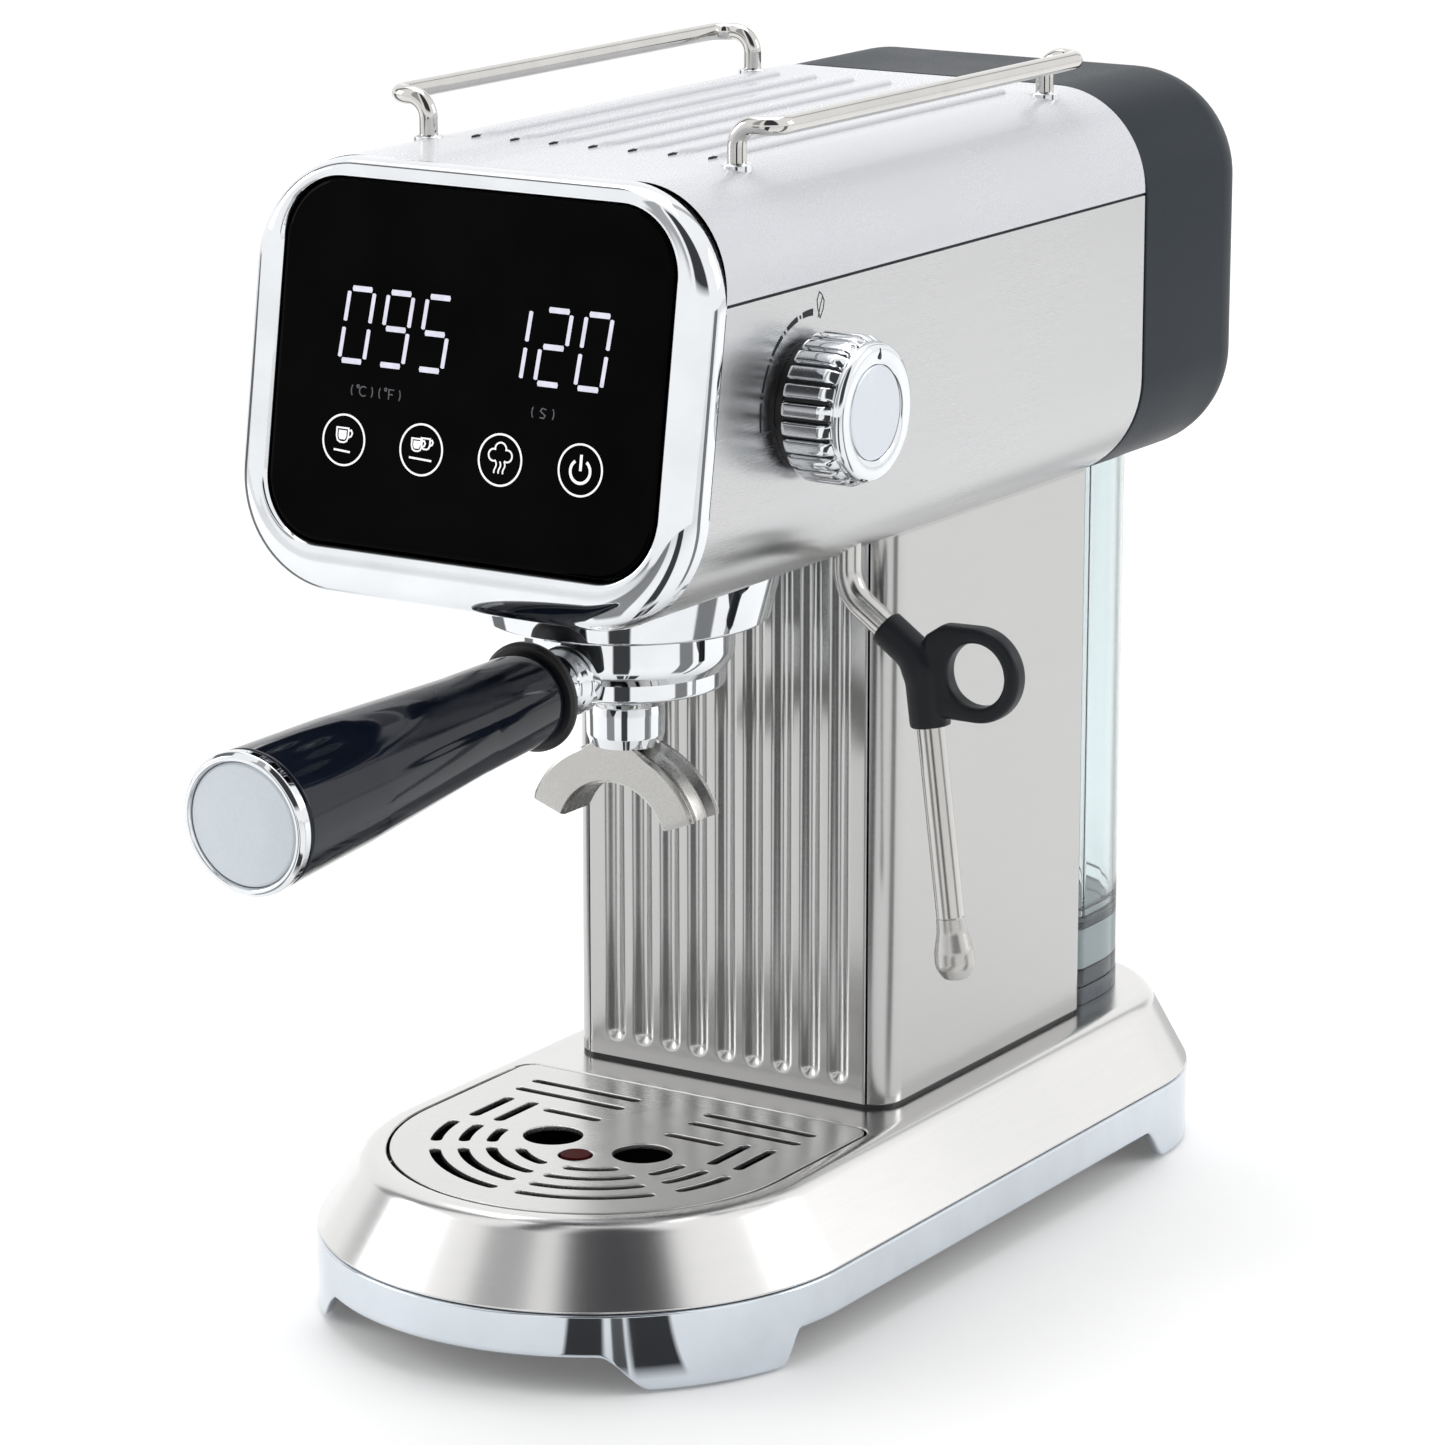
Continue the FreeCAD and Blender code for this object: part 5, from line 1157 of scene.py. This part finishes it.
# %% Slate cap
CAP_REAR, CAP_ROUND = 157.2, 22
turned_in = [(CAP_REAR - CAP_ROUND + CAP_ROUND * math.sin(a), CAP_ROUND * (1 - math.cos(a)))
             for a in (math.radians(90 * k / 14) for k in range(15))]
cap = Shape()
rings = []
for y, inset in [(89.6, 2.6), (89.3, 0.8), (89.45, 0.25), (90.0, 0.0)] + turned_in:
    corner = HEAD_CORNER - inset
    ring = rounded_box(HEAD_HALF - inset, HEAD_LOW + inset, HEAD_HIGH - inset, corner, corner, 20)
    rings.append([Vector((p.x, y, p.y)) for p in ring])
levels = cap.skin(rings)
cap.fill(levels[-1])
piece("tank_cap", cap, "cap", "cap", "tank_cap", slot="cap_plastic")

# %% [markdown]
# ## Feet, gland and fasteners
# Nobody sees the underside in a shop window, but it is looked at when the machine is turned over. Ribbed
# rubber pads, a screw by each pad and the cord gland in the rear make it a real product.

# %% Feet and screws
for name, x, y in (("front_left", -48, -113), ("front_right", 48, -113), ("rear_left", -48, 118),
                   ("rear_right", 48, 118)):
    pad_line = [(0, 0.6)]
    for k in range(4):
        pad_line += [(1.2 + 1.7 * k, 0.6), (1.4 + 1.7 * k, 0.0), (2.3 + 1.7 * k, 0.0), (2.5 + 1.7 * k, 0.6)]
    pad_line += [(7.8, 0.5), (8.0, 1.2), (8.0, 9.6), (7.2, 10.0), (0, 10.0)]
    piece(f"foot_{name}", lathe(pad_line, Matrix.Translation((x, y, 0)), 48), "grey_foot", "machine",
          f"foot_{name}", slot="rubber", sharp=40)
    screw = [(0, 9.5), (0.9, 9.5), (1.0, 8.6), (2.2, 8.55), (3.0, 9.1), (3.2, 9.9), (3.0, 10.2), (0, 10.2)]
    piece(f"base_screw_{name}", lathe(screw, Matrix.Translation((x * 0.62, y * 0.9, 0)), 24), "aluminium",
          "machine", slot="steel")
gland_line = soften([(3.6, 0, 0), (6.9, 0, 0.3), (7.0, 9.0, 0.4), (8.6, 9.4, 0.4), (8.6, 13.2, 0.8),
                     (7.2, 14.0, 0.6), (5.0, 14.0, 0.6), (3.6, 12.6, 0), (3.6, 0, 0)], steps=4)
GLAND = Matrix.Translation((0, 142, 29)) @ Matrix.Rotation(-math.pi / 2, 4, "X")
piece("cord_gland", lathe(gland_line, GLAND, 48), "black", "machine", "cord_gland", slot="black_plastic")

# %% [markdown]
# ## Parts that keep their CAD shape
# The parts inside the case are seen only when a lid or the tray is lifted. Their CAD shape is right, so
# they only need a finish each, picked from the same shelf.

# %% Finishes for the carried parts
KEPT = {
    "black": ["base_plate", "drip_basin", "head_back_plate", "wand_socket", "solenoid_valve", "pump"],
    "aluminium": ["chassis_frame", "thermoblock", "group_head"],
    "brass": ["steam_valve", "wand_swivel", "steam_pipe", "knob_stem"],
    "rubber": ["group_gasket", "tank_valve"], "screen": ["shower_screen"], "cast": ["shower_screw", "portafilter_basket"],
    "red": ["float"], "board": ["display_board", "control_board"], "hose": ["inlet_hose"],
}
for finish, names in KEPT.items():
    for name in names:
        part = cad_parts[name]
        part.data.materials.clear()
        part.data.materials.append(FINISH[finish])
shown = [name for name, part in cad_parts.items() if not part.hide_render]
print("CAD shapes kept:", ", ".join(sorted(shown)))
left_over = set(shown) - {name for names in KEPT.values() for name in names}
print("without a finish of their own:", sorted(left_over) or "none")

# %% [markdown]
# ## Floor and light
# The studio is a pale floor, a soft white sky and three soft lights. A mirror shows what is round it,
# and in an all-white room chrome looks like paper. So the sky has a few dark screens in it, as black
# card stands beside a bottle in a product studio. The floor has screens of its own, and only glossy
# rays meet them: they show in the chrome, and the floor itself stays plain and pale.

# %% Screens round the machine
# (direction, half width, how dark), in degrees; 0 is +X and -58 is towards the camera
IN_SKY = ((-47, 28, 0.97), (-104, 13, 0.6), (-178, 9, 0.85), (86, 5, 0.5))
BY_THE_NOSE = ((-60.5, 5, 0.97), (-51.5, 1.7, 0.9), (-42.5, 6, 0.97))
ON_FLOOR = ((-60, 9, 0.97), (-102, 12, 0.75), (-178, 9, 0.85), (10, 8, 0.8), (86, 5, 0.5))


def screened(tree, place, screens):
    """1 where a direction or a place is free, and near 0 behind a screen."""
    flat = tree.node("ShaderNodeVectorMath", {"operation": "MULTIPLY"}, {0: place, 1: (1.0, 1.0, 0.0)})
    flat = tree.node("ShaderNodeVectorMath", {"operation": "NORMALIZE"}, {0: flat})
    free = 1.0
    for angle, half, dark in screens:
        way = (math.cos(math.radians(angle)), math.sin(math.radians(angle)), 0.0)
        facing = tree.node("ShaderNodeVectorMath", {"operation": "DOT_PRODUCT"}, {0: flat, 1: way},
                           output="Value")
        edge, core = math.cos(math.radians(half * 1.12)), math.cos(math.radians(half * 0.9))
        free = tree.spread(facing, edge, core, 1.0, 1.0 - dark) * free
    return free


# %% Floor
floor = Shape()
rings = [[Vector((r * math.cos(a), r * math.sin(a),
                  0)) for a in (math.tau * k / 96 for k in range(96))] for r in (400, 1500, 9000)]
levels = floor.skin(rings)
floor.fill(levels[0])
paper = Finish("pale_paper", Specular_IOR_Level=0.2, Emission_Color=(1.0, 1.0, 1.0), Emission_Strength=0.12)
fibres = paper.noise((300, 300, 300))
paper.set(Base_Color=paper.mix(fibres, (0.90, 0.90, 0.90), (0.92, 0.92, 0.92)),
          Roughness=paper.spread(fibres, 0.3, 0.7, 0.55, 0.65))
place = paper.place()
place = paper.node("ShaderNodeVectorMath", {"operation": "SUBTRACT"}, {0: place, 1: (0.0, -0.08, 0.0)})
far = paper.node("ShaderNodeVectorMath", {"operation": "LENGTH"}, {0: place}, output="Value")
near = paper.spread(far, 0.085, 0.095) * (1 - paper.spread(far, 0.15, 0.18))
screens = near * (1 - screened(paper, place, BY_THE_NOSE)) + paper.spread(far, 0.17,
                                                                          0.22) * (1 - screened(paper, place, ON_FLOOR))
dark_card = paper.node("ShaderNodeBsdfDiffuse", {}, {"Color": (0.02, 0.02, 0.022)})
glossy = paper.node("ShaderNodeLightPath", output="Is Glossy Ray")
shown_floor = paper.node("ShaderNodeMixShader", {}, {0: screens * glossy,
                                                     1: Wire(paper, paper.shader.outputs[0]), 2: dark_card})
paper.fill(paper.nodes["Material Output"].inputs["Surface"], shown_floor)
ground = placed("floor", mesh_of("floor", floor))
ground.data.materials.append(paper.material)

# %% Soft lights
def soft_light(name, place, size, power, target=(0, 0, 0.16)):
    """A square soft light that faces the machine."""
    lamp = bpy.data.lights.new(name, "AREA")
    lamp.shape, lamp.size, lamp.energy = "SQUARE", size, power
    light = placed(name, lamp)
    light.location = place
    light.rotation_mode = "QUATERNION"
    light.rotation_quaternion = (Vector(target) - Vector(place)).to_track_quat("-Z", "Y")


soft_light("overhead", (-0.4, 0.5, 2.2), 1.6, 16)
soft_light("left_side", (-1.9, -0.9, 1.0), 1.0, 10)
soft_light("right_rear", (1.7, 1.3, 1.1), 0.9, 7)

# %% Sky
sky_world = bpy.data.worlds.new("studio")
bpy.context.scene.world = sky_world
sky = Tree(sky_world)
direction = sky.node("ShaderNodeTexCoord", output="Generated")
height = sky.node("ShaderNodeSeparateXYZ", {}, {0: direction}, output="Z")
low_down = sky.spread(height, 0.17, 0.30) * (1 - sky.spread(height, 0.965, 0.995))
free = 1 - (1 - screened(sky, direction, IN_SKY)) * low_down
sky.fill(sky.nodes["Background"].inputs["Color"], sky.mix(free, (0.02, 0.02, 0.025), (1.0, 1.0, 1.0)))
sky.nodes["Background"].inputs["Strength"].default_value = 1.16
print(len(IN_SKY), "screens round the machine")
